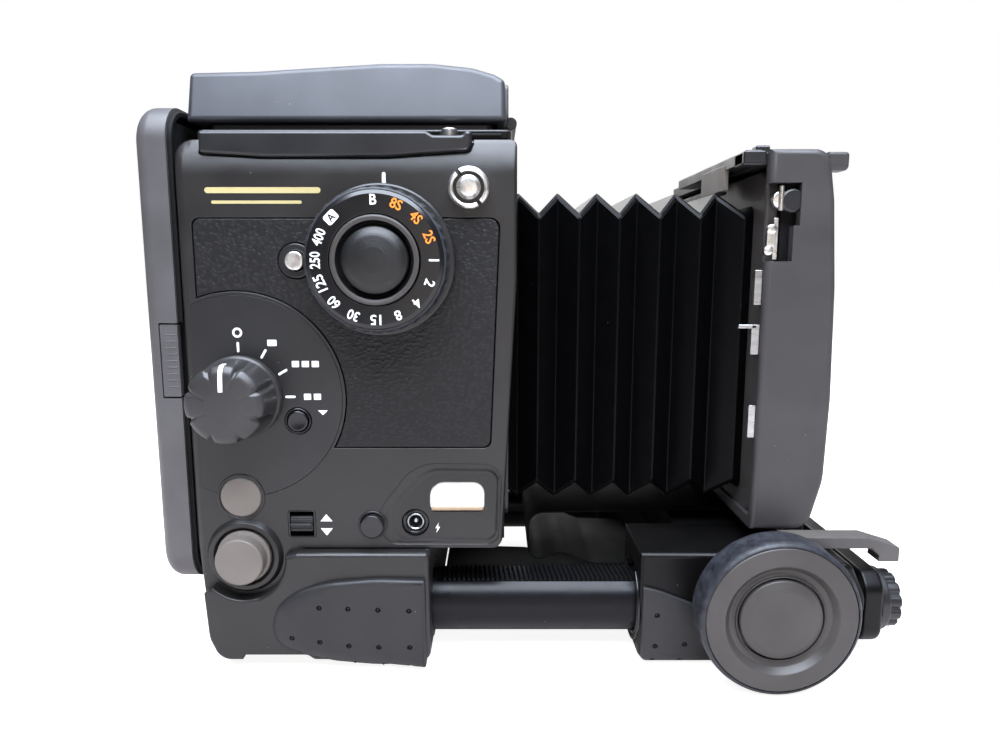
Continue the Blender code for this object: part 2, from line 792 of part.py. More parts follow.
def shutter_dial():
    x, z = SHUTTER_DIAL
    out = (0, -1, 0)
    seat = (x, -SHELL_OUT - GAP, z)
    collar = [(9.9, 0), (22.1, 0), (22.1, 3.2), (21.4, 4.0)]
    base = [*collar, (12.4, 4.0), (12.4, 12.0), (11.6, 12.9), (9.9, 12.2)]
    turned("dial_base_ring", base, seat, out, "satin", 32, ring=True)
    dial = [(12.7, 4.3), (20.7, 4.3), (20.7, 10.6), (19.0, 12.6), (12.7, 12.6)]
    turned("shutter_dial", dial, seat, out, "satin", 32, ring=True)
    button = [(0, 2.8), (9.6, 2.8), (9.6, 12.8), (8.0, 14.0), (4.4, 14.9), (0, 15.2)]
    turned("release_button", button, seat, out, "satin")


def round_button(name, centre, radius, depth, proud, look):
    """A button in its bore, with a softened front edge."""
    seat = (centre[0], -SHELL_OUT, centre[1])
    profile = [(0, -depth), (radius, -depth), (radius, proud - 0.5), (radius - 0.6, proud), (0, proud)]
    turned(name, profile, seat, (0, -1, 0), look, 18)


def small_controls():
    round_button("dial_lock_button", DIAL_LOCK, 2.8, 2.5, 2.4, "chrome")
    round_button("film_wind_button", FILM_WIND, 3.2, 2.8, 1.2, "satin")
    round_button("preview_button", PREVIEW, 3.6, 2.5, 2.3, "satin")
    round_button("side_cap", SIDE_CAP, 6.3, 1.2, 0.4, "satin")
    seat = (SYNC[0], -SHELL_OUT, SYNC[1])
    socket = [(1.9, -3.6), (3.7, -3.6), (3.7, 0.2), (3.2, 0.7), (2.5, 0.7), (1.9, 0.2)]
    turned("sync_socket", socket, seat, (0, -1, 0), "chrome", 18, ring=True)
    cap_seat = (REMOTE_CAP[0], -SHELL_OUT - 2.0, REMOTE_CAP[1])
    cap = [(0, 0), (8.4, 0), (8.4, 1.0), (7.4, 1.2), (7.4, 4.2), (6.4, 5.0), (0, 4.6)]
    turned("remote_cap", cap, cap_seat, (0, -1, 0), "satin", 22)
    dial_seat = (MODE_DIAL[0], -SHELL_OUT - GAP, MODE_DIAL[1])
    dial = [(0, 0), (12.8, 0), (12.6, 4.0), (11.6, 13.0), (10.0, 15.2), (0, 15.7)]
    turned("mode_dial", dial, dial_seat, (0, -1, 0), "satin")


def mirror_switch():
    x, z = MIRROR_SWITCH
    obj = box(
        "mirror_switch", (x - 3.6, x + 3.6), (-62.4, -59.9), (z - 2.5, z + 2.5), "satin", (x, -61, z)
    )
    join(obj, box_mesh((x - 3.6, x + 3.6), (-63.4, -61), (z - 0.6, z + 0.6)))


def strap_lugs():
    ring = [(0, 0), (6.0, 0), (6.0, 3.2), (5.4, 3.8), (4.7, 3.8)]
    lug = [*ring, (4.3, 1.6), (3.5, 1.6), (3.5, 4.6), (2.6, 5.2), (0, 5.4)]
    for name, side in both_sides():
        seat = (STRAP_LUG[0], side * (SHELL_OUT + GAP), STRAP_LUG[1])
        turned(f"strap_lug_{name}", lug, seat, (0, side, 0), "chrome", 18)


def finder_release():
    outline = rounded(
        [
            (-31, 159.2, 1),
            (-12, 158.0, 0),
            (24, 158.0, 0),
            (34.5, 158.9, 1),
            (36.5, 160.2, 1),
            (47.2, 160.6, 1),
            (47.2, 164.0, 1),
            (-31, 164.0, 1),
        ],
        2,
    )
    prism("finder_release_bar", outline, -62.2, -59.4, "Y", "satin", (0, -60.8, 161))
    profile = [(0, 0), (1.6, 0), (1.6, 2.8), (1.1, 3.4), (0, 3.5)]
    turned("finder_release_button", profile, (*FINDER_BUTTON, COVER_TOP + 0.1), (0, 0, 1), "steel", 20)


# Reflex finder ------------------------------------------------------------------------------


def reflex_mirror():
    """Mirror hinged at its top rear edge, modelled lying flat and tilted down 45 degrees."""
    x, z = MIRROR_HINGE
    tilt = Matrix.Translation((x, 0, z)) @ Matrix.Rotation(math.radians(45), 4, "Y")
    frame = box_mesh((0, 80), (-40, 40), (-3.2, -1.5))
    frame.transform(tilt)
    obj = place("mirror_frame", frame, "inner", (x, 0, z))
    join(obj, rod_mesh(2.0, (x, -43, z), (x, 43, z), 16))
    glass = box_mesh((4, 79), (-38, 38), (-1.2, 0.8))
    glass.transform(tilt)
    place("mirror_glass", glass, "silver", (x, 0, z))


def focusing_screen():
    box("focusing_screen", (-26.7, 52.7), (-43.7, 43.7), (BOX_TOP + GAP, 161), "glass")


def finder_base():
    obj = box("finder_base", (-35.7, 60), (-52, 52), (COVER_TOP + GAP, 167.6), "satin")
    join(obj, box_mesh((-33, 54), (-47, 47), (166, 170)))
    cut(obj, box_mesh((-25, 51), (-42, 42), (160, 172)))


def hood_panels():
    """Folded chimney panels, each with its hinge barrel at the outer edge."""
    for (name, side), low in zip(both_sides(), (170.3, 172.6)):
        obj = box(f"hood_panel_{name}", (-28, 50), span(side, 1.5, 45), (low, low + 1.2), "satin")
        join(obj, rod_mesh(1.1, (-28, side * 45.2, low + 1.1), (50, side * 45.2, low + 1.1), 12))


def hood_lid():
    outline = [
        (-38, 170.2),
        (59, 170.2),
        (59, 183.0),
        (55, 184.6),
        (48, 186.7),
        (36, 188.1),
        (21, 188.4),
        (-3, 186.9),
        (-18, 185.9),
        (-38, 185.2),
    ]
    hinge = (LID_HINGE[0], 0, LID_HINGE[1])
    obj = prism("hood_lid", outline, -50, 50, "Y", "shell", hinge)
    soften(obj, 1.4, 1)
    cut(obj, box_mesh((-35.7, 56.7), (-47.7, 47.7), (169, 182.6)))
    join(obj, rod_mesh(1.6, (hinge[0], -40, hinge[2]), (hinge[0], 40, hinge[2]), 16))


def magnifier():
    x, z = MAGNIFIER_HINGE
    middle = (x + 21.5, 0)
    obj = prism(
        "magnifier_frame", rectangle(x, x + 42, -21, 21, 6), z - 1.4, z + 1.0, "Z", "satin", (x, 0, z)
    )
    join(obj, rod_mesh(1.4, (x, -18, z), (x, 18, z), 12))
    cut(obj, prism_mesh(circle(middle, 17.0), z - 3, z + 3, "Z"))
    lens = [(0, -2.0), (10, -1.4), (16.6, -0.5), (16.6, 0.4), (10, 1.3), (0, 1.8)]
    bm = turned_mesh(lens, (middle[0], 0, z), (0, 0, 1), 24)
    place("magnifier_lens", bm, "glass", (x, 0, z), smooth=True)


# Back ---------------------------------------------------------------------------------------


def revolving_adapter():
    origin = (-43.5, 0, OPTICAL_Z)
    obj = box("revolving_adapter", (-46, -41), (-55, 55), (30, 169.4), "satin", origin)
    neck = [(49.0, -40.5 - 1.5), (53.0, -40.5 - 1.5), (53.0, BOX_REAR - GAP), (49.0, BOX_REAR - GAP)]
    join(obj, turned_mesh(neck, (0, 0, OPTICAL_Z), (1, 0, 0), ROUND_STEPS, ring=True))
    cut(obj, box_mesh((-47, -40), (-29, 29), (62, 138)))


def rear_cover():
    origin = (-43.5, 0, OPTICAL_Z)
    outline = rounded(
        [
            (BACK_FRONT, BACK_BOTTOM, 0),
            (BACK_FRONT, BACK_TOP, 0),
            (BACK_REAR, BACK_TOP, 9),
            (BACK_REAR, BACK_BOTTOM, 9),
        ],
        5,
    )
    obj = prism("rear_cover", outline, -BACK_HALF, BACK_HALF, "Y", "shell", origin)
    soften(obj, 2.0, 1)
    cavity = rounded(
        [
            (BACK_FRONT + 1, BACK_BOTTOM + 2.5, 0),
            (BACK_FRONT + 1, BACK_TOP - 2.5, 0),
            (BACK_REAR + 2.5, BACK_TOP - 2.5, 6.5),
            (BACK_REAR + 2.5, BACK_BOTTOM + 2.5, 6.5),
        ],
        5,
    )
    cut(obj, prism_mesh(cavity, -BACK_HALF + 2.5, BACK_HALF - 2.5, "Y"))
    for name, side in both_sides():
        cut(obj, box_mesh((-47.3, BACK_FRONT + 1), span(side, 57, 62), (86.2, 109.8)))
        box(
            f"cover_latch_{name}",
            (-47, BACK_FRONT),
            span(side, 57.6, 60.0),
            (87.4, 108.6),
            "shell",
            (-47, side * 58.8, 98),
        )


clear_scene()
for build in (
    mirror_box,
    right_side_cover,
    left_side_cover,
    inlays,
    top_plate,
    base_block,
    tripod_plate,
    base_grips,
    scale_window,
    rails,
    rail_crossbar,
    rail_lock_knob,
    carriage,
    carriage_grips,
    pinion_shaft,
    focus_knobs,
    front_frame,
    standard_cover,
    lens_lock_bar,
    bracket_arms,
    bellows,
    flex_ribbon,
    shutter_dial,
    small_controls,
    mirror_switch,
    strap_lugs,
    finder_release,
    reflex_mirror,
    focusing_screen,
    finder_base,
    hood_panels,
    hood_lid,
    magnifier,
    revolving_adapter,
    rear_cover,
):
    build()
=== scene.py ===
"""Looks of a rail-focusing bellows reflex camera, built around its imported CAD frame.

Shapes are written in millimetres in the CAD frame: +X forward along the lens axis, +Z up, and
the camera's right side, which faces the viewer, at negative Y. make() scales them to metres.
"""

import math

import bmesh
import bpy
from mathutils import Matrix, Vector


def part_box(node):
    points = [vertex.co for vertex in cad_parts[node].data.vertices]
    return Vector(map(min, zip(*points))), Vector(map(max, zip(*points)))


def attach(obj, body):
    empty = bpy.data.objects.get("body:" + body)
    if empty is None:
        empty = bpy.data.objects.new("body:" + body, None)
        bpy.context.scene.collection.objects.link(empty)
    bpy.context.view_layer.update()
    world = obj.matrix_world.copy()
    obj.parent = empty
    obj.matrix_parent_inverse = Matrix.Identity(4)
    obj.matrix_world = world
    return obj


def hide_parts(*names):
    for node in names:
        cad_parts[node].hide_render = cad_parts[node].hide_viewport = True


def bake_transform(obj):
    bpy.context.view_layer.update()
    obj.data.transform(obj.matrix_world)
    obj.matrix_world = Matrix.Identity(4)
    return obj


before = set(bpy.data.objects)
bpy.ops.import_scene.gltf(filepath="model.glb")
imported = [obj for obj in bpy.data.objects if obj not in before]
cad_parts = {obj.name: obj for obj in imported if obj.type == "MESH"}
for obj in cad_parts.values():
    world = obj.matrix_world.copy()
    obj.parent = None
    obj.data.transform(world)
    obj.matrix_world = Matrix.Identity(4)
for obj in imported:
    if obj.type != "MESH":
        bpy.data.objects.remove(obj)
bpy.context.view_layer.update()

MM = 0.001
FINE = 96  # steps round a visible turned piece
COARSE = 40


class Extent:
    """Lowest, highest and middle coordinates of a CAD node, in millimetres."""

    def __init__(self, node):
        low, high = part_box(node)
        self.x0, self.y0, self.z0 = low / MM
        self.x1, self.y1, self.z1 = high / MM
        self.x, self.y, self.z = (low + high) / 2 / MM


BASE = Extent("base_block")
ROD = Extent("rail_rod_right")
CROSSBAR = Extent("rail_crossbar")
KNOB = Extent("focus_knob_right")
STANDARD = Extent("standard_cover")
LID = Extent("hood_lid")
BACK = Extent("rear_cover")
BELLOWS = Extent("bellows")
FACE = 62.0  # distance of the side covers' outer face from the middle plane
INLAY = 4.2  # depth of the front layer of a side cover, which frames the inlays
LAYER = FACE - INLAY  # where that layer begins
RAIL_Y, RAIL_Z = 48.0, 16.0  # axes of the rail rods: distance from the middle plane, height
OUT, UP, FORWARD = (0, -1, 0), (0, 0, 1), (1, 0, 0)  # out of the right side, up, forward
HANDS = (("right", -1), ("left", 1))  # each side's name, and the sign of its Y


# Outlines -----------------------------------------------------------------------------------


def rounded(corners, segments=6, closed=True):
    """The polygon, or open path, with each (a, b, radius) corner rounded by an arc."""
    points = []
    count = len(corners)
    for index, (a, b, radius) in enumerate(corners):
        corner = Vector((a, b))
        if radius == 0 or (not closed and index in (0, count - 1)):
            points.append(corner)
            continue
        before = (Vector(corners[index - 1][:2]) - corner).normalized()
        after = (Vector(corners[(index + 1) % count][:2]) - corner).normalized()
        half = before.angle(after) / 2
        reach = radius / math.tan(half)
        centre = corner + (before + after).normalized() * radius / math.sin(half)
        first = corner + before * reach - centre
        turn = first.angle_signed(corner + after * reach - centre)
        for step in range(segments + 1):
            spoke = first.copy()
            spoke.rotate(Matrix.Rotation(-turn * step / segments, 2))
            points.append(centre + spoke)
    return points


def rectangle(low_a, high_a, low_b, high_b, radius, segments=6):
    corners = ((low_a, low_b), (high_a, low_b), (high_a, high_b), (low_a, high_b))
    return rounded([(a, b, radius) for a, b in corners], segments)


def circle(centre, radius, steps=COARSE):
    turns = [math.tau * step / steps for step in range(steps)]
    return [Vector((centre[0] + radius * math.cos(t), centre[1] + radius * math.sin(t))) for t in turns]


def arc(centre, radius, start, end, steps=24):
    """Points on a circle from one angle to another, in degrees."""
    turns = [math.radians(start + (end - start) * step / steps) for step in range(steps + 1)]
    return [Vector((centre[0] + radius * math.cos(t), centre[1] + radius * math.sin(t))) for t in turns]


def area(loop):
    return sum(a.x * b.y - b.x * a.y for a, b in zip(loop, loop[1:] + loop[:1])) / 2


def shrink(loop, amounts):
    """The outline moved inwards, each point by its own amount.

    Where that turns a small arc inside out, its points all move to where its neighbours meet.
    """
    turn = 1 if area(loop) > 0 else -1
    count = len(loop)
    moved = []
    for index, (point, amount) in enumerate(zip(loop, amounts)):
        before = (point - loop[index - 1]).normalized()
        after = (loop[(index + 1) % count] - point).normalized()
        inward = Vector((-(before.y + after.y), before.x + after.x)) * turn
        if inward.length < 1e-6:
            moved.append(point.copy())
            continue
        inward.normalize()
        straight = Vector((-before.y, before.x)) * turn
        moved.append(point + inward * amount / max(0.5, inward.dot(straight)))
    flipped = []
    for index in range(count):
        after = (index + 1) % count
        flipped.append((moved[after] - moved[index]).dot(loop[after] - loop[index]) < 0)
    for index in range(count):
        if not flipped[index] or flipped[index - 1]:
            continue
        last = index
        while flipped[last % count]:
            last += 1
        into = loop[index] - loop[index - 1]
        away = loop[(last + 1) % count] - loop[last % count]
        middle = (moved[index] + moved[last % count]) / 2
        meeting = crossing(moved[index], into, moved[last % count], away)
        if (meeting - middle).length > 2 * max(amounts):
            meeting = middle
        for place in range(index, last + 1):
            moved[place % count] = meeting.copy()
    return moved


def crossing(first, along, second, away):
    """Where two lines meet, or the middle of their points if they're nearly parallel."""
    turn = along.x * away.y - along.y * away.x
    if abs(turn) < 1e-3 * along.length * away.length:
        return (first + second) / 2
    reach = ((second.x - first.x) * away.y - (second.y - first.y) * away.x) / turn
    return first + along * reach


# Meshes -------------------------------------------------------------------------------------

SIDES = {
    "right": lambda a, b, h: (a, -h, b),
    "left": lambda a, b, h: (a, h, b),
    "top": lambda a, b, h: (a, b, h),
    "front": lambda a, b, h: (h, a, b),
    "rear": lambda a, b, h: (-h, a, b),
}


def ring_of(bm, points):
    """Vertices of a ring. Neighbours that fall on one place share a vertex."""
    ring = []
    for point in points:
        if ring and (Vector(point) - ring[-1].co).length < 1e-4:
            ring.append(ring[-1])
        else:
            ring.append(bm.verts.new(point))
    last = ring[-1]
    if last is not ring[0] and (last.co - ring[0].co).length < 1e-4:
        ring = [ring[0] if vert is last else vert for vert in ring]
        bm.verts.remove(last)
    return ring


def face(bm, verts):
    verts = list(dict.fromkeys(verts))
    if len(verts) > 2:
        bm.faces.new(verts)


def bridge(bm, first, second):
    """Faces between two rings of vertices. A ring of one vertex is a pole."""
    count = max(len(first), len(second))
    first = first * count if len(first) == 1 else first
    second = second * count if len(second) == 1 else second
    for index in range(count):
        after = (index + 1) % count
        face(bm, (first[index], first[after], second[after], second[index]))


def ring_edges(bm, ring):
    pairs = [pair for pair in zip(ring, ring[1:] + ring[:1]) if pair[0] is not pair[1]]
    return [bm.edges.get(pair) or bm.edges.new(pair) for pair in pairs]


def plate(outline, low, high, side, edge=0.5, back=0.0, holes=(), hole_edge=0.25, steps=4):
    """A plate from height low to high out of a side, its edges rounded, with holes through it.

    edge is a radius, or the (reach, drop) of an elliptical rounding, or a function of (a, b)
    that gives one of these, for an edge whose rounding changes along the outline.
    """
    put = SIDES[side]
    bm = bmesh.new()
    rims = ([], [])
    for index, loop in enumerate([outline, *holes]):
        rounding = edge if index == 0 else hole_edge
        sign = 1 if index == 0 else -1
        sizes = [rounding(*point) if callable(rounding) else rounding for point in loop]
        sizes = [size if isinstance(size, tuple) else (size, size) for size in sizes]
        rings = []
        if back and index == 0:
            for step in range(steps):
                turn = math.pi / 2 * step / steps
                inset = shrink(loop, [back * (1 - math.sin(turn))] * len(loop))
                rings.append([(*point, low + back * (1 - math.cos(turn))) for point in inset])
            rings.append([(*point, low + back) for point in loop])
        else:
            rings.append([(*point, low) for point in loop])
        for step in range(steps + 1):
            turn = math.pi / 2 * step / steps
            inset = shrink(loop, [sign * reach * (1 - math.cos(turn)) for reach, _ in sizes])
            heights = [high - drop * (1 - math.sin(turn)) for _, drop in sizes]
            rings.append([(*point, height) for point, height in zip(inset, heights)])
        made = [ring_of(bm, [put(*point) for point in ring]) for ring in rings]
        for first, second in zip(made, made[1:]):
            bridge(bm, first, second)
        rims[0].extend(ring_edges(bm, made[0]))
        rims[1].extend(ring_edges(bm, made[-1]))
    for rim in rims:
        bmesh.ops.triangle_fill(bm, use_beauty=True, use_dissolve=False, edges=rim)
    return bm


def loft(rings):
    """A skin over rings of points that all have the same count, closed at both ends."""
    bm = bmesh.new()
    made = [ring_of(bm, ring) for ring in rings]
    for first, second in zip(made, made[1:]):
        bridge(bm, first, second)
    for ring in (made[0], made[-1]):
        bmesh.ops.triangle_fill(bm, use_beauty=True, use_dissolve=False, edges=ring_edges(bm, ring))
    return bm


def facing(direction):
    """The rotation that takes local +Z to a direction."""
    return Vector((0, 0, 1)).rotation_difference(Vector(direction)).to_matrix().to_4x4()


def turned(profile, seat, direction, steps=FINE, shape=None, ring=False):
    """The (radius, height) profile turned about an axis; shape(turn, radius, height) may flute it."""
    bm = bmesh.new()
    made = []
    for radius, height in profile:
        if radius < 1e-6:
            made.append([bm.verts.new((0, 0, height))])
            continue
        turns = [math.tau * step / steps for step in range(steps)]
        reach = [shape(t, radius, height) if shape else radius for t in turns]
        made.append([bm.verts.new((r * math.cos(t), r * math.sin(t), height)) for r, t in zip(reach, turns)])
    for first, second in zip(made, made[1:]):
        bridge(bm, first, second)
    if ring:
        bridge(bm, made[-1], made[0])
    bm.transform(Matrix.Translation(seat) @ facing(direction))
    return bm


def block(x, y, z):
    bm = bmesh.new()
    bmesh.ops.create_cube(bm, size=1.0)
    size = [abs(high - low) for low, high in (x, y, z)]
    bmesh.ops.scale(bm, verts=bm.verts, vec=size)
    bmesh.ops.translate(bm, verts=bm.verts, vec=[(low + high) / 2 for low, high in (x, y, z)])
    return bm


def rod(radius, start, end, steps=COARSE, edge=0.3):
    """A cylinder between two points, its ends chamfered."""
    length = (Vector(end) - Vector(start)).length
    profile = [(0, 0), (radius - edge, 0), (radius, edge)]
    profile += [(radius, length - edge), (radius - edge, length), (0, length)]
    return turned(profile, start, Vector(end) - Vector(start), steps)


def lathe(profile, seat, direction, segments=5, steps=FINE, shape=None):
    """A solid turned from (radius, height, rounding) corners that begin and end on the axis."""
    return turned(rounded(profile, segments, closed=False), seat, direction, steps, shape)


def hoop(profile, seat, direction, segments=4, steps=FINE, shape=None):
    """A ring turned from a closed outline of (radius, height, rounding) corners."""
    return turned(rounded(profile, segments), seat, direction, steps, shape, ring=True)


def slab(reach_a, reach_b, radius, heights, side, edge=0.5, **options):
    """A plate whose outline is a rectangle with rounded corners."""
    return plate(rectangle(*reach_a, *reach_b, radius), *heights, side, edge, **options)


def merged(meshes):
    """One bmesh that holds all of these."""
    whole = bmesh.new()
    for bm in meshes:
        part = bpy.data.meshes.new("part")
        bm.to_mesh(part)
        bm.free()
        whole.from_mesh(part)
        bpy.data.meshes.remove(part)
    return whole


def mesh_object(name, bm):
    bmesh.ops.remove_doubles(bm, verts=bm.verts, dist=0.0005)
    bmesh.ops.recalc_face_normals(bm, faces=bm.faces)
    bmesh.ops.scale(bm, verts=bm.verts, vec=(MM, MM, MM))
    mesh = bpy.data.meshes.new(name)
    bm.to_mesh(mesh)
    bm.free()
    obj = bpy.data.objects.new(name, mesh)
    bpy.context.scene.collection.objects.link(obj)
    return obj


def apply_modifiers(obj):
    graph = bpy.context.evaluated_depsgraph_get()
    mesh = bpy.data.meshes.new_from_object(obj.evaluated_get(graph))
    obj.modifiers.clear()
    obj.data = mesh


def carve(obj, cutters):
    """Cuts each mesh out of the object and applies the result."""
    helpers = []
    for bm in cutters:
        helper = mesh_object("cutter", bm)
        modifier = obj.modifiers.new("cut", "BOOLEAN")
        modifier.operation = "DIFFERENCE"
        modifier.solver = "EXACT"
        modifier.object = helper
        helpers.append(helper)
    bpy.context.view_layer.update()
    apply_modifiers(obj)
    for helper in helpers:
        bpy.data.objects.remove(helper, do_unlink=True)


def bevel(obj, width, segments=3):
    modifier = obj.modifiers.new("bevel", "BEVEL")
    modifier.width = width * MM
    modifier.segments = segments
    modifier.limit_method = "ANGLE"
    modifier.angle_limit = math.radians(40)
    modifier.use_clamp_overlap = True
    modifier.harden_normals = False


# Materials ----------------------------------------------------------------------------------


class Nodes:
    """A node tree, and short ways to add to it."""

    def __init__(self, tree):
        self.tree = tree

    def feed(self, node, inputs):
        """Sets each input to a value, or links another node's output to it."""
        for key, value in inputs.items():
            if isinstance(value, bpy.types.NodeSocket):
                self.tree.links.new(value, node.inputs[key])
            else:
                node.inputs[key].default_value = value

    def add(self, kind, inputs=None, **settings):
        node = self.tree.nodes.new(kind)
        for key, value in settings.items():
            setattr(node, key, value)
        self.feed(node, inputs or {})
        return node

    def ramp(self, source, *stops):
        node = self.add("ShaderNodeValToRGB", {"Fac": source})
        elements = node.color_ramp.elements
        while len(elements) < len(stops):
            elements.new(0.5)
        for element, (place, colour) in zip(elements, stops):
            element.position = place
            element.color = (*colour, 1.0)
        return node.outputs["Color"]


class Surface(Nodes):
    """A new material, its Principled node, and the point's place in the frame."""

    def __init__(self, name, roughness, metallic=0.0, specular=0.5):
        self.material = bpy.data.materials.new(name)
        self.material.use_nodes = True
        super().__init__(self.material.node_tree)
        self.principled = self.tree.nodes["Principled BSDF"]
        self.place = self.add("ShaderNodeTexCoord").outputs["Object"]
        self.set({"Roughness": roughness, "Metallic": metallic, "Specular IOR Level": specular})

    def set(self, inputs):
        self.feed(self.principled, inputs)

    def grain(self, scale, detail=3.0, distort=0.0, place=None):
        inputs = {"Scale": scale, "Detail": detail, "Distortion": distort, "Vector": place or self.place}
        return self.add("ShaderNodeTexNoise", inputs).outputs["Fac"]

    def shades(self, source, colour, dark, bright, places=(0.3, 0.7)):
        """A ramp from a darker to a brighter shade of a colour."""
        stops = [(at, [min(1.0, c * factor) for c in colour]) for at, factor in zip(places, (dark, bright))]
        return self.ramp(source, *stops)

    def bump(self, height, strength, depth, below=None):
        """A bump of a depth in millimetres, on top of the one below."""
        inputs = {"Strength": strength, "Distance": depth * MM, "Height": height}
        if below:
            inputs["Normal"] = below
        normal = self.add("ShaderNodeBump", inputs).outputs["Normal"]
        self.set({"Normal": normal})
        return normal

    def vary_roughness(self, low, high, scale=90.0, place=None):
        inputs = {"To Min": low, "To Max": high, "From Min": 0.3, "From Max": 0.7}
        varied = self.add("ShaderNodeMapRange", {"Value": self.grain(scale, place=place), **inputs})
        self.set({"Roughness": varied.outputs["Result"]})

    def dusty(self, colour, share=0.3, size=0.022, scale=240.0):
        """The colour with sparse bright specks of dust, each in its own Voronoi cell."""
        cells = self.add("ShaderNodeTexVoronoi", {"Scale": scale, "Vector": self.place}).outputs
        red = self.add("ShaderNodeSeparateColor", {"Color": cells["Color"]}).outputs["Red"]
        near = self.add("ShaderNodeMath", {0: cells["Distance"], 1: size}, operation="LESS_THAN")
        chosen = self.add("ShaderNodeMath", {0: red, 1: share}, operation="LESS_THAN")
        both = self.add("ShaderNodeMath", {0: near.outputs[0], 1: chosen.outputs[0]}, operation="MULTIPLY")
        mix = self.add("ShaderNodeMix", data_type="RGBA")
        self.feed(mix, {"Factor": both.outputs[0], "A": colour, "B": (0.45, 0.45, 0.4725, 1.0)})
        return mix.outputs["Result"]


def plastic(name, colour, roughness, texture=0.25, dust=0.3, specular=0.5):
    """Moulded plastic with a fine spark-eroded texture, slight mottling and dust."""
    made = Surface(name, roughness, specular=specular)
    base = made.shades(made.grain(60.0), colour, 0.88, 1.12, (0.35, 0.65))
    made.set({"Base Color": made.dusty(base, dust) if dust else base})
    made.vary_roughness(roughness - 0.05, roughness + 0.05)
    made.bump(made.grain(3600.0, 2.0), texture, 0.06)
    return made.material


def leather(name, colour, roughness):
    """Embossed grain: pebbles of about a millimetre, drawn out along a slanted direction, with painted shade
    in the creases and painted highlight on the pebble tops.
    """
    made = Surface(name, roughness, specular=0.3)
    slant = {"Rotation": (0, math.radians(-32), 0), "Scale": (1.0, 1.0, 1.45), "Vector": made.place}
    slanted = made.add("ShaderNodeMapping", slant).outputs["Vector"]
    warp = made.add("ShaderNodeTexNoise", {"Scale": 420.0, "Detail": 2.0, "Vector": slanted})
    inputs = {0: warp.outputs["Color"], 1: (0.0011, 0.0011, 0.0011)}
    shift = made.add("ShaderNodeVectorMath", inputs, operation="MULTIPLY")
    moved = made.add("ShaderNodeVectorMath", {0: slanted, 1: shift.outputs[0]}, operation="ADD")
    inputs = {"Scale": 700.0, "Smoothness": 0.5, "Vector": moved.outputs[0]}
    cells = made.add("ShaderNodeTexVoronoi", inputs, feature="SMOOTH_F1")
    height = made.ramp(cells.outputs["Distance"], (0.12, (1, 1, 1)), (0.62, (0, 0, 0)))
    # painted shade and highlight: the base colour darkens into the creases and brightens on the pebble tops
    made.set({"Base Color": made.dusty(made.shades(height, colour, 0.7, 1.15, (0.1, 0.7)), 0.22, 0.02)})
    coarse = made.bump(height, 0.55, 0.25)
    made.bump(made.grain(2600.0, 3.0), 0.2, 0.04, coarse)
    return made.material


def rubber(name, colour, roughness, mottle):
    """Rubber that has greyed unevenly and holds dust."""
    made = Surface(name, roughness, specular=0.45)
    base = made.shades(made.grain(420.0, 5.0, 0.8), colour, 1 / mottle, mottle)
    made.set({"Base Color": made.dusty(base, 0.5, 0.03, 420.0)})
    made.vary_roughness(roughness - 0.08, roughness + 0.1, 200.0)
    made.bump(made.grain(1500.0, 4.0), 0.35, 0.08)
    return made.material


def metal(name, colour, roughness, drawn=(1.0, 1.0, 1.0)):
    """Bare or plated metal with a faint finish; drawn gives the direction that stretches it."""
    made = Surface(name, roughness, metallic=1.0)
    scaled = made.add("ShaderNodeMapping", {"Scale": drawn, "Vector": made.place}).outputs["Vector"]
    finish = made.grain(900.0, 4.0, place=scaled)
    made.set({"Base Color": made.shades(finish, colour, 0.85, 1.1)})
    made.vary_roughness(roughness * 0.8, roughness * 1.3, 500.0, scaled)
    made.bump(finish, 0.12, 0.02)
    return made.material


def cloth(name, colour, roughness):
    """Rubber-coated cloth: a very fine weave under a dull coat."""
    made = Surface(name, roughness, specular=0.12)
    inputs = {"Scale": 900.0, "Distortion": 1.5, "Vector": made.place}
    weave = made.add("ShaderNodeTexWave", inputs, bands_direction="Z")
    made.set({"Base Color": made.dusty(made.shades(made.grain(220.0), colour, 0.7, 1.3), 0.25, 0.02)})
    made.bump(weave.outputs["Fac"], 0.12, 0.03)
    return made.material


def paint(name, colour, roughness=0.5):
    """Printed paint, slightly uneven."""
    made = Surface(name, roughness)
    made.set({"Base Color": made.shades(made.grain(700.0), colour, 0.93, 1.0)})
    made.bump(made.grain(2400.0), 0.1, 0.02)
    return made.material


def glass(name, colour, roughness):
    made = Surface(name, roughness)
    base = made.shades(made.grain(300.0), colour, 0.96, 1.0)
    made.set({"Transmission Weight": 0.85, "IOR": 1.52, "Base Color": base})
    made.bump(made.grain(1800.0), 0.05, 0.01)
    return made.material
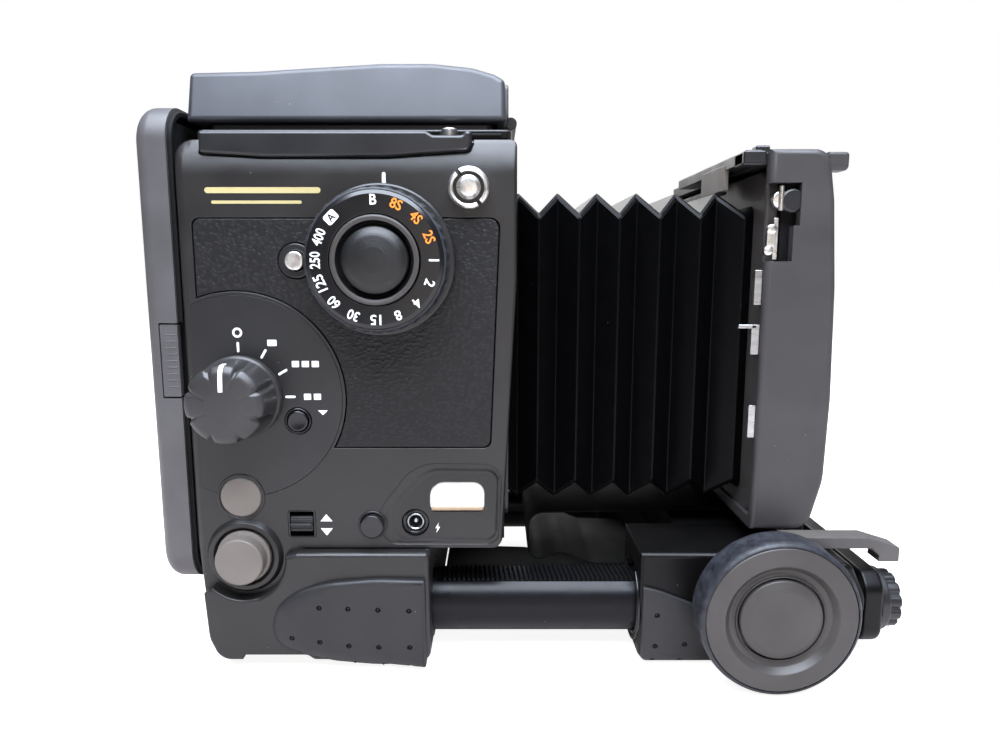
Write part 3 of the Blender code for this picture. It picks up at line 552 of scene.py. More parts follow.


# Each look: a slot name, then what makes its material, and from which values
LOOKS = {
    # painted light: the shell's warm tint stands in for light bounced up from below, and the hood's bluish
    # tint for the light from above
    "shell": ("shell", plastic, "shell_plastic", (0.0125, 0.0112, 0.0108), 0.38),
    "hood": ("shell", plastic, "hood_plastic", (0.034, 0.036, 0.043), 0.42),
    "back": ("shell", plastic, "back_plastic", (0.075, 0.071, 0.073), 0.42, 0.25, 0.1),
    "standard": ("shell", plastic, "standard_plastic", (0.04, 0.037, 0.037), 0.42),
    "carriage": ("shell", plastic, "carriage_plastic", (0.003, 0.0028, 0.0028), 0.34, 0.25, 0.3, 0.22),
    "mode_plate": ("shell", plastic, "mode_plate_plastic", (0.011, 0.0108, 0.0112), 0.36, 0.25, 0.5),
    "satin": ("satin_plastic", plastic, "satin_black", (0.012, 0.012, 0.013), 0.34, 0.15),
    "gloss": ("satin_plastic", plastic, "gloss_black", (0.006, 0.006, 0.007), 0.2, 0.05, 0.15),
    "grey": ("satin_plastic", plastic, "grey_satin", (0.045, 0.04, 0.037), 0.42, 0.4),
    "cap": ("satin_plastic", plastic, "cap_rubber", (0.145, 0.126, 0.11), 0.5, 0.3),
    "bracket": ("satin_plastic", plastic, "bracket_grey", (0.082, 0.075, 0.071), 0.4, 0.2, 0.1),
    "knob": ("satin_plastic", plastic, "knob_satin", (0.03, 0.028, 0.028), 0.38, 0.2),
    "dome": ("satin_plastic", plastic, "pebbled_black", (0.006, 0.0058, 0.006), 0.42, 1.0),
    "inner": ("inner_black", plastic, "inner_black", (0.003, 0.003, 0.003), 0.7, 0.3, 0.0, 0.2),
    "leather": ("leatherette", leather, "leatherette", (0.0115, 0.011, 0.0117), 0.46),
    "grip": ("grip_rubber", plastic, "grip_rubber", (0.012, 0.0115, 0.0125), 0.5, 0.6),
    "rubber": ("knob_rubber", rubber, "knob_rubber", (0.013, 0.014, 0.018), 0.5, 2.0),
    "anodised": ("anodised", plastic, "black_anodised", (0.003, 0.003, 0.0045), 0.3, 0.06, 0.1, 0.22),
    "chrome": ("chrome", metal, "chrome", (0.85, 0.83, 0.79), 0.3),
    "steel": ("steel", metal, "steel", (0.5, 0.5, 0.5), 0.3, (0.2, 1.0, 1.0)),
    "mirror": ("mirror_silver", metal, "mirror_silver", (0.85, 0.87, 0.9), 0.06),
    "bellows": ("bellows_cloth", cloth, "bellows_cloth", (0.0009, 0.0009, 0.0011), 0.38),
    "glass": ("clear_glass", glass, "ground_glass", (0.85, 0.9, 0.9), 0.15),
    "ivory": ("ivory_plastic", paint, "ivory", (0.95, 0.94, 0.92), 0.35),
    # the tan look paints the warm shade at the foot of the pocket's slot
    "tan": ("ivory_plastic", paint, "tan_lip", (0.42, 0.3, 0.2), 0.4),
    "white": ("ivory_plastic", paint, "white_paint", (0.88, 0.88, 0.86)),
    "orange": ("ivory_plastic", paint, "orange_paint", (0.9, 0.25, 0.02)),
    "gold": ("chrome", paint, "gold_paint", (0.5, 0.42, 0.2), 0.4),
}
LOOKS_MADE = {}


def dress(obj, look, angle=34):
    """Gives an object its look and shading."""
    slot, maker, *values = LOOKS[look]
    if look not in LOOKS_MADE:
        LOOKS_MADE[look] = maker(*values)
    obj.data.materials.clear()
    obj.data.materials.append(LOOKS_MADE[look])
    obj.data.shade_smooth()
    obj.data.set_sharp_from_angle(angle=math.radians(angle))
    obj.modifiers.new("normals", "WEIGHTED_NORMAL").keep_sharp = True


def make(name, bm, look, *hides, body="camera_body", cutters=(), soft=0.0, angle=34):
    """A finished piece from a bmesh in millimetres: it rides on a body and hides CAD nodes."""
    obj = mesh_object(name, bm)
    if cutters:
        carve(obj, cutters)
    if soft:
        bevel(obj, soft)
    dress(obj, look, angle)
    if body:
        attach(obj, body)
    if hides:
        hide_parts(*hides)
    return obj


def finish_node(node, look, soft=0.0):
    """A CAD node kept as it is, with a better material and softened edges."""
    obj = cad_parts[node]
    for polygon in obj.data.polygons:
        polygon.material_index = 0
    if soft:
        bevel(obj, soft, 2)
    dress(obj, look)


# Side covers and inlays ---------------------------------------------------------------------

MODE_CENTRE = (-22.7, 87.0)
MODE_RADIUS = 31.2
LEATHER = (-34.0, 56.3, 53.5, 71.5, 140.5)  # rear, front at the top and at the bottom, low, high
WINDOW = (34.4, 51.8, 50.3, 59.9)  # the slot in the pocket: rear, front, low, high
POCKET_OUTER = [(20.5, 40.2, 5), (56.2, 40.2, 4), (57.0, 66.0, 5), (30.5, 66.5, 14), (18.5, 51, 9)]
POCKET_INNER = [(26.0, 42.6, 4), (54.6, 42.6, 2.5), (55.4, 62.5, 3), (35.5, 62.8, 9), (25.5, 53.5, 6)]
INLAY_HEIGHTS = (FACE - 3.8, FACE - 0.05)


def cover_outline():
    corners = [(-36.7, 22.3, 1.5), (-5.6, 22.3, 0.5), (-5.6, 39.0, 0.3), (57.2, 39.0, 3), (58.5, 64.0, 0)]
    return rounded([*corners, (61.5, 122.0, 0), (61.5, 163.4, 2.0), (-39, 163.4, 5), (-39, 40.0, 0)])


def cover_rounding(a, b):
    """Rounding of a side cover's edge: wide at the rear, tight elsewhere."""
    if b < 39.5:
        return 0.25
    return 2.8 if a < -34.5 else 1.2


def lean_back(bm):
    """Bends the top of a side cover inwards, most at its upper edge."""
    start, top, most, steps = 152.6, 163.4, 3.3, 8
    for step in range(steps):
        height = start + (top - start) * step / steps
        geometry = [*bm.verts, *bm.edges, *bm.faces]
        bmesh.ops.bisect_plane(bm, geom=geometry, plane_co=(0, 0, height), plane_no=(0, 0, 1))
    for vert in bm.verts:
        out = (abs(vert.co.y) - LAYER) / INLAY
        if vert.co.z > start and out > 0:
            share = (vert.co.z - start) / (top - start)
            vert.co.y -= math.copysign(most * out * share**1.7, vert.co.y)
    return bm


def leather_outline(margin=0.0):
    """Edge of the right leatherette, hollowed by the mode plate's circle."""
    rear, front_top, front_low, low, high = LEATHER
    rear, low, high = rear - margin, low - margin, high + margin
    radius = MODE_RADIUS + 1.3 - margin
    start = math.degrees(math.acos((rear - MODE_CENTRE[0]) / radius))
    end = math.degrees(math.asin((low - MODE_CENTRE[1]) / radius))
    corners = [(rear, high, 2.2), (front_top + margin, high, 3), (front_low + margin, low, 2.5)]
    edge = rounded([(rear, 118.0, 0), *corners, (8.0, low, 0)])[1:-1]
    return edge + arc(MODE_CENTRE, radius, start, end, 36)[::-1]


def mode_outline(grow=0.0):
    radius = MODE_RADIUS + grow
    reach = math.degrees(math.acos((-36.1 - MODE_CENTRE[0]) / radius))
    return arc(MODE_CENTRE, radius, -reach, reach, 80)


def window_outline(grow):
    x0, x1, z0, z1 = WINDOW[0] - grow, WINDOW[1] + grow, WINDOW[2] - grow, WINDOW[3] + grow
    return rounded([(x0, z0, 1.8), (x1, z0, 1.8), (x1, z1, 3.6), (x0, z1, 4.6)])


def pocket_sink(z):
    """Depth of the pocket's floor, which comes forward towards its lower end."""
    return 0.5 + 0.075 * max(0.0, z - 42.6)


def pocket():
    """The moulded pocket: a dip and a soft swelling round a floor that leans back at its top."""
    rim = -FACE + 0.02
    bm = bmesh.new()
    rings = []
    steps = 14
    for step in range(steps + 1):
        share = step / steps
        ring = []
        for first, second in zip(rounded(POCKET_OUTER, 10), rounded(POCKET_INNER, 10)):
            wide = min(1.0, (second - first).length / 8)
            swell = 0.4 * wide * math.sin(math.tau * min(1.0, share * 1.35)) * (1 - share)
            sink = pocket_sink(second.y) * share * share * (3 - 2 * share) + max(-0.25, swell)
            place = first.lerp(second, share)
            ring.append((place.x, rim + sink, place.y))
        rings.append(ring_of(bm, ring))
    for first, second in zip(rings, rings[1:]):
        bridge(bm, first, second)
    edges = ring_edges(bm, rings[-1])
    for hole in (window_outline(0.0), circle((30.0, 47.0), 4.4, 32)):
        ring = [bm.verts.new((p.x, rim + pocket_sink(p.y), p.y)) for p in hole]
        deep = [bm.verts.new((p.x, -FACE + 4.0, p.y)) for p in shrink(hole, [0.15] * len(hole))]
        edges += ring_edges(bm, ring)
        bridge(bm, ring, deep)
    bmesh.ops.triangle_fill(bm, use_beauty=True, use_dissolve=False, edges=edges)
    make("pocket_wall", bm, "shell", angle=50)


def cover(side, holes, hole_edge, notch=(), core_notch=()):
    """A side cover: its front layer frames the inlays, and a dark core backs them."""
    bm = plate(cover_outline(), LAYER, FACE, side, cover_rounding, holes=holes, hole_edge=hole_edge)
    make(f"{side}_cover_face", lean_back(bm), "shell", f"{side}_side_cover", cutters=notch)
    core = plate(cover_outline(), FACE - 5.7, LAYER - 0.05, side, 0.3)
    make(f"{side}_cover_core", core, "inner", cutters=core_notch)


def right_cover():
    switch = Extent("mirror_switch")
    holes = [leather_outline(0.3), mode_outline(0.07), rounded(POCKET_OUTER, 10)]
    holes += [square(switch, 4.3, 4.3, 0.8), circle((16.7, 46.6), 4.4)]

    def hole_rounding(a, b):
        return 0.1 if math.dist((a, b), MODE_CENTRE) < MODE_RADIUS + 0.5 else 0.22

    notch = plate(bar_outline(0.6), LAYER - 1, FACE + 1, "right", 0.0)
    cover("right", holes, hole_rounding, [notch], [block((-41, 63), (-63, -54), (162.6, 165))])


def inlays():
    holes = [circle((-4.0, 128.2), 5.4)]
    bm = plate(leather_outline(), *INLAY_HEIGHTS, "right", 0.35, holes=holes, hole_edge=0.3)
    make("leather_right", bm, "leather", "leatherette_right")

    def rim(a, b):
        return 0.0 if a < -36.0 else 0.14

    holes = [circle((-5.3, 79.8), 4.1)]
    bm = plate(mode_outline(), *INLAY_HEIGHTS, "right", rim, holes=holes, hole_edge=0.4)
    make("mode_plate", bm, "mode_plate", "mode_disc_plate")


def left_cover():
    rear, _, _, low, high = LEATHER
    cover("left", [rectangle(rear - 0.3, 53.8, low - 0.3, high + 0.3, 3)], 0.22)
    bm = slab((rear, 53.5), (low, high), 2.8, INLAY_HEIGHTS, "left", 0.35)
    make("leather_left", bm, "leather", "leatherette_left")


# Controls -----------------------------------------------------------------------------------


def out_at(box, height=0.0):
    """A seat on the right cover, over the middle of a node, at a height above the face."""
    return (box.x, -FACE - height, box.z)


def square(box, half_x, half_z, radius, rise=0.0):
    """A rectangle round the middle of a node, seen from the right."""
    return rectangle(box.x - half_x, box.x + half_x, box.z + rise - half_z, box.z + rise + half_z, radius)


def speed_dial():
    """Fixed collar, turning dial with a scalloped rubber rim, and the release dome in it."""
    dial = Extent("shutter_dial")
    seat = out_at(dial, 0.3)
    collar = [(9.9, 0, 0), (22.1, 0, 0), (22.1, 3.4, 0.9), (12.4, 4.1, 0), (12.4, 12.7, 0.9)]
    collar += [(11.4, 13.0, 0.6), (10.6, 10.6, 0.5), (9.9, 10.0, 0)]
    make("dial_collar", hoop(collar, seat, OUT), "satin", "dial_base_ring")
    # painted highlight: a grey ring along the collar's top edge stands for the light it catches
    lip = [(11.0, 12.6, 0), (12.5, 12.6, 0), (12.5, 13.0, 0.15), (11.9, 13.2, 0.2), (11.0, 12.9, 0.1)]
    make("dial_collar_painted_highlight", hoop(lip, seat, OUT, 3), "grey")
    top = 12.6
    disc = [(12.8, 4.4, 0), (19.4, 4.4, 0), (19.4, 11.9, 0.5), (18.2, top, 0.6), (12.8, top, 0.3)]
    make("dial_face", hoop(disc, seat, OUT), "gloss", "shutter_dial", body="speed_dial")
    lobes = 34

    def scallop(turn, radius, height):
        return radius - 0.55 * (0.5 + 0.5 * math.cos(lobes * turn)) ** 1.5 if radius >= 20.0 else radius

    rim = [(19.2, 4.6, 0), (20.4, 4.6, 0.3), (20.7, 6.0, 0.5), (20.7, 9.6, 0.9), (20.1, 11.4, 0.5)]
    bm = hoop([*rim, (19.3, 11.9, 0.2)], seat, OUT, 4, lobes * 8, scallop)
    make("dial_rim", bm, "rubber", body="speed_dial", angle=50)
    dome = [(0, 2.8, 0), (9.5, 2.8, 0), (9.5, 11.6, 0), (9.5, 12.6, 1.2), (7.4, 14.3, 4), (3.6, 15.0, 4)]
    bm = lathe([*dome, (0, 15.2, 0)], seat, OUT)
    make("release_dome", bm, "dome", "release_button", body="shutter_release")
    dial_numbers(dial, FACE + 0.3 + top)


def letters(text, height, widest):
    """The outline mesh of a number, centred, in millimetres."""
    curve = bpy.data.curves.new("number", "FONT")
    curve.body = text
    curve.align_x = "CENTER"
    curve.size = 1.0
    curve.extrude = 0.02
    curve.offset = 0.018
    curve.resolution_u = 3
    obj = bpy.data.objects.new("number", curve)
    bpy.context.scene.collection.objects.link(obj)
    bpy.context.view_layer.update()
    graph = bpy.context.evaluated_depsgraph_get()
    mesh = bpy.data.meshes.new_from_object(obj.evaluated_get(graph))
    bpy.data.objects.remove(obj, do_unlink=True)
    bm = bmesh.new()
    bm.from_mesh(mesh)
    bpy.data.meshes.remove(mesh)
    xs = [vert.co.x for vert in bm.verts]
    ys = [vert.co.y for vert in bm.verts]
    tall = height / (max(ys) - min(ys))
    wide = min(tall, widest / (max(xs) - min(xs)))
    bmesh.ops.translate(bm, verts=bm.verts, vec=(-(min(xs) + max(xs)) / 2, -(min(ys) + max(ys)) / 2, 0))
    bmesh.ops.scale(bm, verts=bm.verts, vec=(wide, tall, 1))
    return bm


def around(centre, radius, degrees):
    """The (x, z) point at an angle round the middle of a node, seen from the right."""
    turn = math.radians(degrees)
    return Vector((centre.x + radius * math.cos(turn), centre.z + radius * math.sin(turn)))


def dial_numbers(dial, height):
    """Speeds round the dial, tops outwards, clockwise from the index."""
    labels = ["B", "8S", "4S", "2S", "1", "2", "4", "8", "15", "30", "60", "125", "250", "400", "A"]
    widths = {1: 1.9, 2: 3.3, 3: 4.7}
    white, orange = [], []

    def on_dial(bm, turn, lift=0.0):
        centre = around(dial, 16.6, 90 - turn)
        lay = Matrix.Translation((centre.x, -height - lift, centre.y)) @ Matrix.Rotation(math.pi / 2, 4, "X")
        bm.transform(lay @ Matrix.Rotation(math.radians(-turn), 4, "Z"))
        return bm

    for index, label in enumerate(labels):
        turn = index * 22.5
        if label == "A":
            white.append(on_dial(slab((-1.9, 1.9), (-1.55, 1.55), 0.7, (0, 0.04), "top", 0.0), turn))
            letter = on_dial(letters("A", 2.2, 2.0), turn, 0.05)
            make("dial_auto_letter", letter, "gloss", body="speed_dial", angle=80)
        else:
            number = on_dial(letters(label, 2.9, widths[len(label)]), turn)
            (orange if label.endswith("S") else white).append(number)
    make("dial_numbers_white", merged(white), "white", body="speed_dial", angle=80)
    make("dial_numbers_orange", merged(orange), "orange", body="speed_dial", angle=80)


def mode_knob():
    """Fluted knob with a white pointer that wraps over its front edge."""
    knob = Extent("mode_dial")
    flutes = 8

    def flute(turn, radius, height):
        if height < 3.2 or radius < 8.5:
            return radius
        phase = (turn * flutes / math.tau + 0.5 - flutes / 4 + 0.5) % 1.0 - 0.5
        notch = math.exp(-((phase / 0.085) ** 2))
        return radius - 1.15 * min(1.0, (height - 3.2) / 2.5) * notch

    profile = [(0, 0, 0), (12.8, 0, 0), (12.8, 2.2, 0.5), (12.1, 3.0, 0.5), (11.9, 6.0, 0)]
    profile += [(11.5, 13.6, 1.6), (9.6, 15.0, 3), (5.0, 15.5, 4), (0, 15.7, 0)]
    bm = lathe(profile, out_at(knob, 0.3), OUT, 6, 240, flute)
    make("mode_knob", bm, "knob", "mode_dial", body="mode_selector", angle=60)
    left, right = knob.x - 0.62, knob.x + 0.62
    path = [(4.2, 15.66), (8.0, 15.4), (9.8, 15.05), (10.9, 14.2), (11.5, 13.0), (11.62, 11.0)]
    rings = []
    for radius, height in path:
        front, back = -FACE - 0.4 - height, -FACE - height
        top = knob.z + radius + 0.08
        upper = [(left, front, top), (right, front, top)]
        rings.append([*upper, (right, back, top - 0.3), (left, back, top - 0.3)])
    make("mode_pointer", loft(rings), "white", body="mode_selector", angle=60)


def small_button(name, node, body, look, proud, bezel, dish=0.0):
    """A button with softened edge, and its bezel ring on the cover."""
    box = Extent(node)
    radius = (box.x1 - box.x0) / 2
    profile = [(0, -2.4, 0), (radius, -2.4, 0), (radius, proud, 0.5)]
    profile += [(radius * 0.55, proud - dish * 0.6, 1.5), (0, proud - dish, 0)]
    make(name, lathe(profile, out_at(box), OUT, 5, 64), look, node, body=body)
    inner, outer, height, ring_look = bezel
    ring = [(inner, -2.0, 0), (outer, -2.0, 0), (outer, height, 0.35), (inner, height, 0.35)]
    make(f"{name}_bezel", hoop(ring, out_at(box), OUT, 4, 64), ring_look)


def small_controls():
    small_button("lock_button", "dial_lock_button", "dial_lock", "chrome", 2.3, (3.1, 5.1, 0.5, "satin"))
    small_button("wind_button", "film_wind_button", "film_wind", "gloss", 0.9, (3.4, 4.0, 0.25, "gloss"), 0.5)
    small_button("preview_cap", "preview_button", "preview", "satin", 2.2, (3.8, 4.5, 0.3, "shell"), 0.25)
    small_button("side_cap_disc", "side_cap", "camera_body", "cap", 0.45, (6.6, 7.5, 0.35, "shell"), 0.15)


def sync_socket():
    seat = out_at(Extent("sync_socket"), -0.9)
    bezel = [(3.0, -3.4, 0), (4.3, -3.4, 0), (4.3, -0.6, 0.4), (3.3, -0.3, 0.3), (3.0, -0.9, 0.1)]
    make("sync_bezel", hoop(bezel, seat, OUT, 4, 64), "gloss")
    barrel = [(2.1, -3.4, 0), (2.8, -3.4, 0), (2.8, -1.0, 0.2), (2.4, -0.7, 0.15), (2.1, -1.0, 0.1)]
    make("sync_barrel", hoop(barrel, seat, OUT, 3, 64), "steel", "sync_socket")
    pin = [(0, -3.6), (0.7, -3.6), (0.7, -1.9), (0.4, -1.6), (0, -1.6)]
    make("sync_pin", turned(pin, seat, OUT, 32), "steel")


def remote_socket():
    cap = Extent("remote_cap")
    boss = [(8.6, -1.0, 0), (12.4, -1.0, 0), (12.2, -0.2, 0), (10.9, 1.7, 0.5), (9.4, 1.7, 0.4)]
    boss += [(9.0, 0.6, 0.3), (8.6, 0.4, 0)]
    make("remote_boss", hoop(boss, out_at(cap), OUT), "shell")
    top = -cap.y0 - FACE
    profile = [(0, 0.2, 0), (8.4, 0.2, 0), (8.4, 1.9, 0.4), (7.5, 2.2, 0.3), (7.4, top - 0.4, 0.7)]
    bm = lathe([*profile, (0, top - 0.6, 0)], out_at(cap), OUT)
    make("remote_cap_knob", bm, "cap", "remote_cap")


def mirror_switch():
    box = Extent("mirror_switch")
    hole = [square(box, 3.7, 4.1, 0.5)]
    rim = plate(square(box, 4.3, 4.3, 0.8), 57.9, FACE + 0.1, "right", 0.2, holes=hole, hole_edge=0.15)
    make("switch_frame", rim, "gloss")
    high = 62.2
    rows = [plate(square(box, 3.5, 2.4, 0.4), 60.0, high, "right", 0.3)]
    for rise in (-1.5, -0.75, 0.0, 0.75, 1.5):
        rows.append(plate(square(box, 3.3, 0.18, 0.1, rise), high - 0.3, high + 0.35, "right", 0.15))
    rows.append(plate(square(box, 3.4, 0.5, 0.3), high - 0.3, 63.3, "right", 0.35))
    make("switch_slider", merged(rows), "satin", "mirror_switch", body="mirror_up_switch")


def strap_lugs():
    for name, side in HANDS:
        box = Extent(f"strap_lug_{name}")
        seat, out = (box.x, side * (FACE + 0.3), box.z), (0, side, 0)
        notches = []
        for turn in (55, 235):
            bm = block((4.2, 7.0), (-6, 6), (-0.6, 0.6))
            bm.transform(Matrix.Translation(seat) @ Matrix.Rotation(math.radians(-turn * side), 4, "Y"))
            notches.append(bm)
        ring = [(4.4, 0, 0), (6.0, 0, 0), (6.0, 2.9, 0.5), (5.3, 3.6, 0.4), (4.6, 3.3, 0.2)]
        make(f"lug_ring_{name}", hoop(ring, seat, out), "chrome", f"strap_lug_{name}", cutters=notches)
        groove = [(3.3, 0, 0), (4.5, 0, 0), (4.5, 1.4, 0), (3.3, 1.4, 0)]
        make(f"lug_groove_{name}", hoop(groove, seat, out, steps=64), "gloss")
        stud = [(0, 0, 0), (3.5, 0, 0), (3.5, 3.8, 0.5), (2.9, 4.5, 0.3), (2.6, 5.1, 0.5), (0, 5.4, 0)]
        make(f"lug_stud_{name}", lathe(stud, seat, out), "chrome")


def bar_mark(a, b, width):
    """A printed bar with round ends between two (x, z) points."""
    a, b = Vector(a), Vector(b)
    heading = math.degrees(math.atan2(b.y - a.y, b.x - a.x))
    rear = arc(a, width / 2, heading + 90, heading + 270, 8)
    return rear + arc(b, width / 2, heading - 90, heading + 90, 8)


def mark(outline, height, holes=()):
    """A printed shape, just proud of the surface at a height."""
    return plate(outline, height - 0.03, height + 0.02, "right", 0.0, holes=holes, hole_edge=0.0)


def triangle(x, z, half, rise):
    """A triangle whose point is as far above its middle as its base is below."""
    return [Vector((x - half, z - rise)), Vector((x + half, z - rise)), Vector((x, z + rise))]


def printed_marks():
    """White marks of the controls. Words are left out; small generic signs stand in their place."""
    on_cover, on_plate = FACE + 0.005, FACE - 0.05
    index_x, knob = Extent("shutter_dial").x + 1.2, Extent("mode_dial")
    marks = [mark(bar_mark((index_x, 149.6), (index_x, 153.2), 1.1), on_cover)]
    for index in range(4):
        ends = [around(knob, radius, 90 - 30 * index) for radius in (14.0, 16.4)]
        marks.append(mark(bar_mark(*ends, 0.75), on_plate))
    off, single, series, multi = (around(knob, 19.0, degrees) for degrees in (90, 60, 32, 0))
    frame_marks = [rectangle(single.x - 0.6, single.x + 2.2, single.y - 0.9, single.y + 1.0, 0.2)]
    for place, first, count in ((series, 1.0, 3), (multi, 1.4, 2)):
        for step in range(count):
            x = place.x + first + 3.0 * step
            frame_marks.append(rectangle(x - 1.1, x + 1.1, place.y - 0.95, place.y + 0.95, 0.2))
    wind = [Vector((0.9, 83.1)), Vector((3.9, 83.1)), Vector((2.4, 81.6))]
    marks += [mark(outline, on_plate) for outline in [*frame_marks, wind]]
    marks += [mark(triangle(2.3, z, 1.9, rise), on_cover) for z, rise in ((48.9, 1.17), (44.3, -1.17))]
    middle = off + Vector((0, 0.6))
    marks.append(mark(circle(middle, 1.5, 32), on_plate, [circle(middle, 0.85, 32)]))
    bolt = [(0.35, 1.7), (-0.75, -0.15), (-0.1, -0.15), (-0.45, -1.7), (0.8, 0.35), (0.1, 0.35)]
    floor = FACE - pocket_sink(45.4) + 0.1
    marks.append(plate([Vector((37.0 + a, 45.4 + b)) for a, b in bolt], floor, floor + 0.04, "right", 0.0))
    make("printed_marks", merged(marks), "white", angle=80)
    rules = [((-29.0, 148.6), (3.2, 148.6), 1.7), ((-27.6, 145.2), (-2.0, 145.2), 0.9)]
    make("gold_rules", merged([mark(bar_mark(*rule), on_cover) for rule in rules]), "gold", angle=80)


def window():
    """The ivory insert of the pocket's slot, with a tan strip along its lower edge that paints the shade at
    the foot of the slot.
    """
    bm = plate(window_outline(-0.1), FACE - 4.0, FACE - 2.4, "right", 0.3)
    make("window_insert", bm, "ivory", "scale_window")
    x0, x1, z0, _ = WINDOW
    # painted shade: a tan strip for the warm shade along the bottom of the slot
    lip = slab((x0 + 0.4, x1 - 0.4), (z0 + 0.1, z0 + 1.5), 0.6, (FACE - 3.6, FACE - 1.9), "right", 0.4)
    make("window_painted_shade", lip, "tan")


BUTTON = (41.3, -53.3)  # middle of the finder button, in X and Y


def bar_outline(grow=0.0):
    """Edge of the finder bar. Grown, it's the notch that the bar lies in, open at the top."""
    bar = Extent("finder_release_bar")
    rear, front, low, high = bar.x0 - grow, 48.3 + grow, bar.z0 - grow, bar.z1 + 1.4
    corners = [(rear, low + 1.2, 1.2), (-12, low, 60), (24, low, 60)]
    corners += [(front - 1.0, low + 1.9, 1.2), (front, low + 4.6, 1.2)]
    if grow:
        return rounded([*corners, (front, high + 2, 0.8), (rear, high + 2, 0)])
    dip = [(46.4, high, 0.8), (45.4, high - 1.2, 1.2), (37.0, high - 1.2, 1.2), (35.0, high, 1.2)]
    return rounded([(rear, high, 0.8), *corners, (front, high, 1.2), *dip])


def finder_controls():
    bar = Extent("finder_release_bar")
    bm = plate(bar_outline(), -bar.y1, -bar.y0, "right", 1.1, steps=6)
    make("finder_bar_cap", bm, "satin", "finder_release_bar", body="finder_bar", angle=50)
    button = Extent("finder_release_button")
    height = button.z1 + 0.4 - button.z0
    profile = [(0, 0, 0), (2.4, 0, 0), (2.4, height, 0.6), (0, height + 0.2, 0)]
    bm = lathe(profile, (*BUTTON, button.z0), UP, 4, 48)
    make("finder_button_cap", bm, "steel", "finder_release_button", body="finder_button")


# Base ---------------------------------------------------------------------------------------

BASE_SIDE = 62.2  # where the slabs that thicken the base begin
GRIP_OUTLINE = [(33.4, 1.6, 1.0), (33.4, 30.6, 0.8), (18.4, 31.0, 60), (1.7, 29.6, 40), (-7.7, 26.2, 20)]
GRIP_OUTLINE += [(-13.2, 22.0, 12), (-16.0, 13.5, 8), (-13.5, 7.6, 5), (-6.0, 4.6, 20), (4.1, 2.3, 40)]
GRIP_OUTLINE += [(18.0, 1.0, 60)]
GRIP_PITS = [(0.5, 21.9), (9.4, 21.6), (18.7, 21.2), (28.3, 20.9)]
GRIP_PITS += [(-8.3, 11.9), (0.4, 10.6), (9.4, 9.3), (18.7, 8.9), (28.4, 8.8)]
GRIP_EDGE_PITS = [(-7.0, 5.6), (1.7, 3.7), (10.8, 2.3), (19.7, 1.7), (28.6, 1.9)]


def pit_tools(places, edge_places, side, face_at, edge_at):
    """Cutters for the dimples of a grip, and the small nub inside each."""
    cutters, nubs = [], []
    spots = [((x, side * face_at, z), (0, side, 0)) for x, z in places]
    spots += [((x, side * edge_at, z), (0, side, -1.1)) for x, z in edge_places]
    for seat, out in spots:
        bowl = [(0, -1.0), (0.55, -0.9), (0.8, -0.45), (0.95, 0.6), (0, 0.6)]
        cutters.append(turned(bowl, seat, out, 20))
        nub = [(0, -1.2), (0.42, -1.2), (0.42, -0.5), (0.25, -0.32), (0, -0.28)]
        nubs.append(turned(nub, seat, out, 12))
    return merged(cutters), merged(nubs)


def unit(value):
    return max(0.0, min(1.0, value))


def base_grip(name, side):
    """A rubber grip: a crisp step along its top that fades to the rear, a swelling underside."""

    def roll(a, b):
        low, rear, front = unit((22.0 - b) / 14.0), unit((4.0 - a) / 14.0), unit((33.4 - a) / 5.0)
        reach = 1.6 + 5.5 * max(low, rear)
        return (0.9 + (reach - 0.9) * front, 0.9 + (0.2 + 3.6 * low + 1.6 * rear * (1 - low)) * front)

    face_at = 68.3
    pits, nubs = pit_tools(GRIP_PITS, GRIP_EDGE_PITS, side, face_at, face_at - 1.9)
    bm = plate(rounded(GRIP_OUTLINE), 61.5, face_at, name, roll, steps=8)
    make(f"grip_{name}", bm, "grip", f"base_grip_{name}", cutters=[pits], angle=50)
    make(f"grip_nubs_{name}", nubs, "grip", angle=60)


def slab_rounding(a, b):
    """Edge of the base's side slab: tighter up its rear, softer elsewhere."""
    return (0.8, 0.8) if b > 8 and a < -20 else (1.4, 1.6)


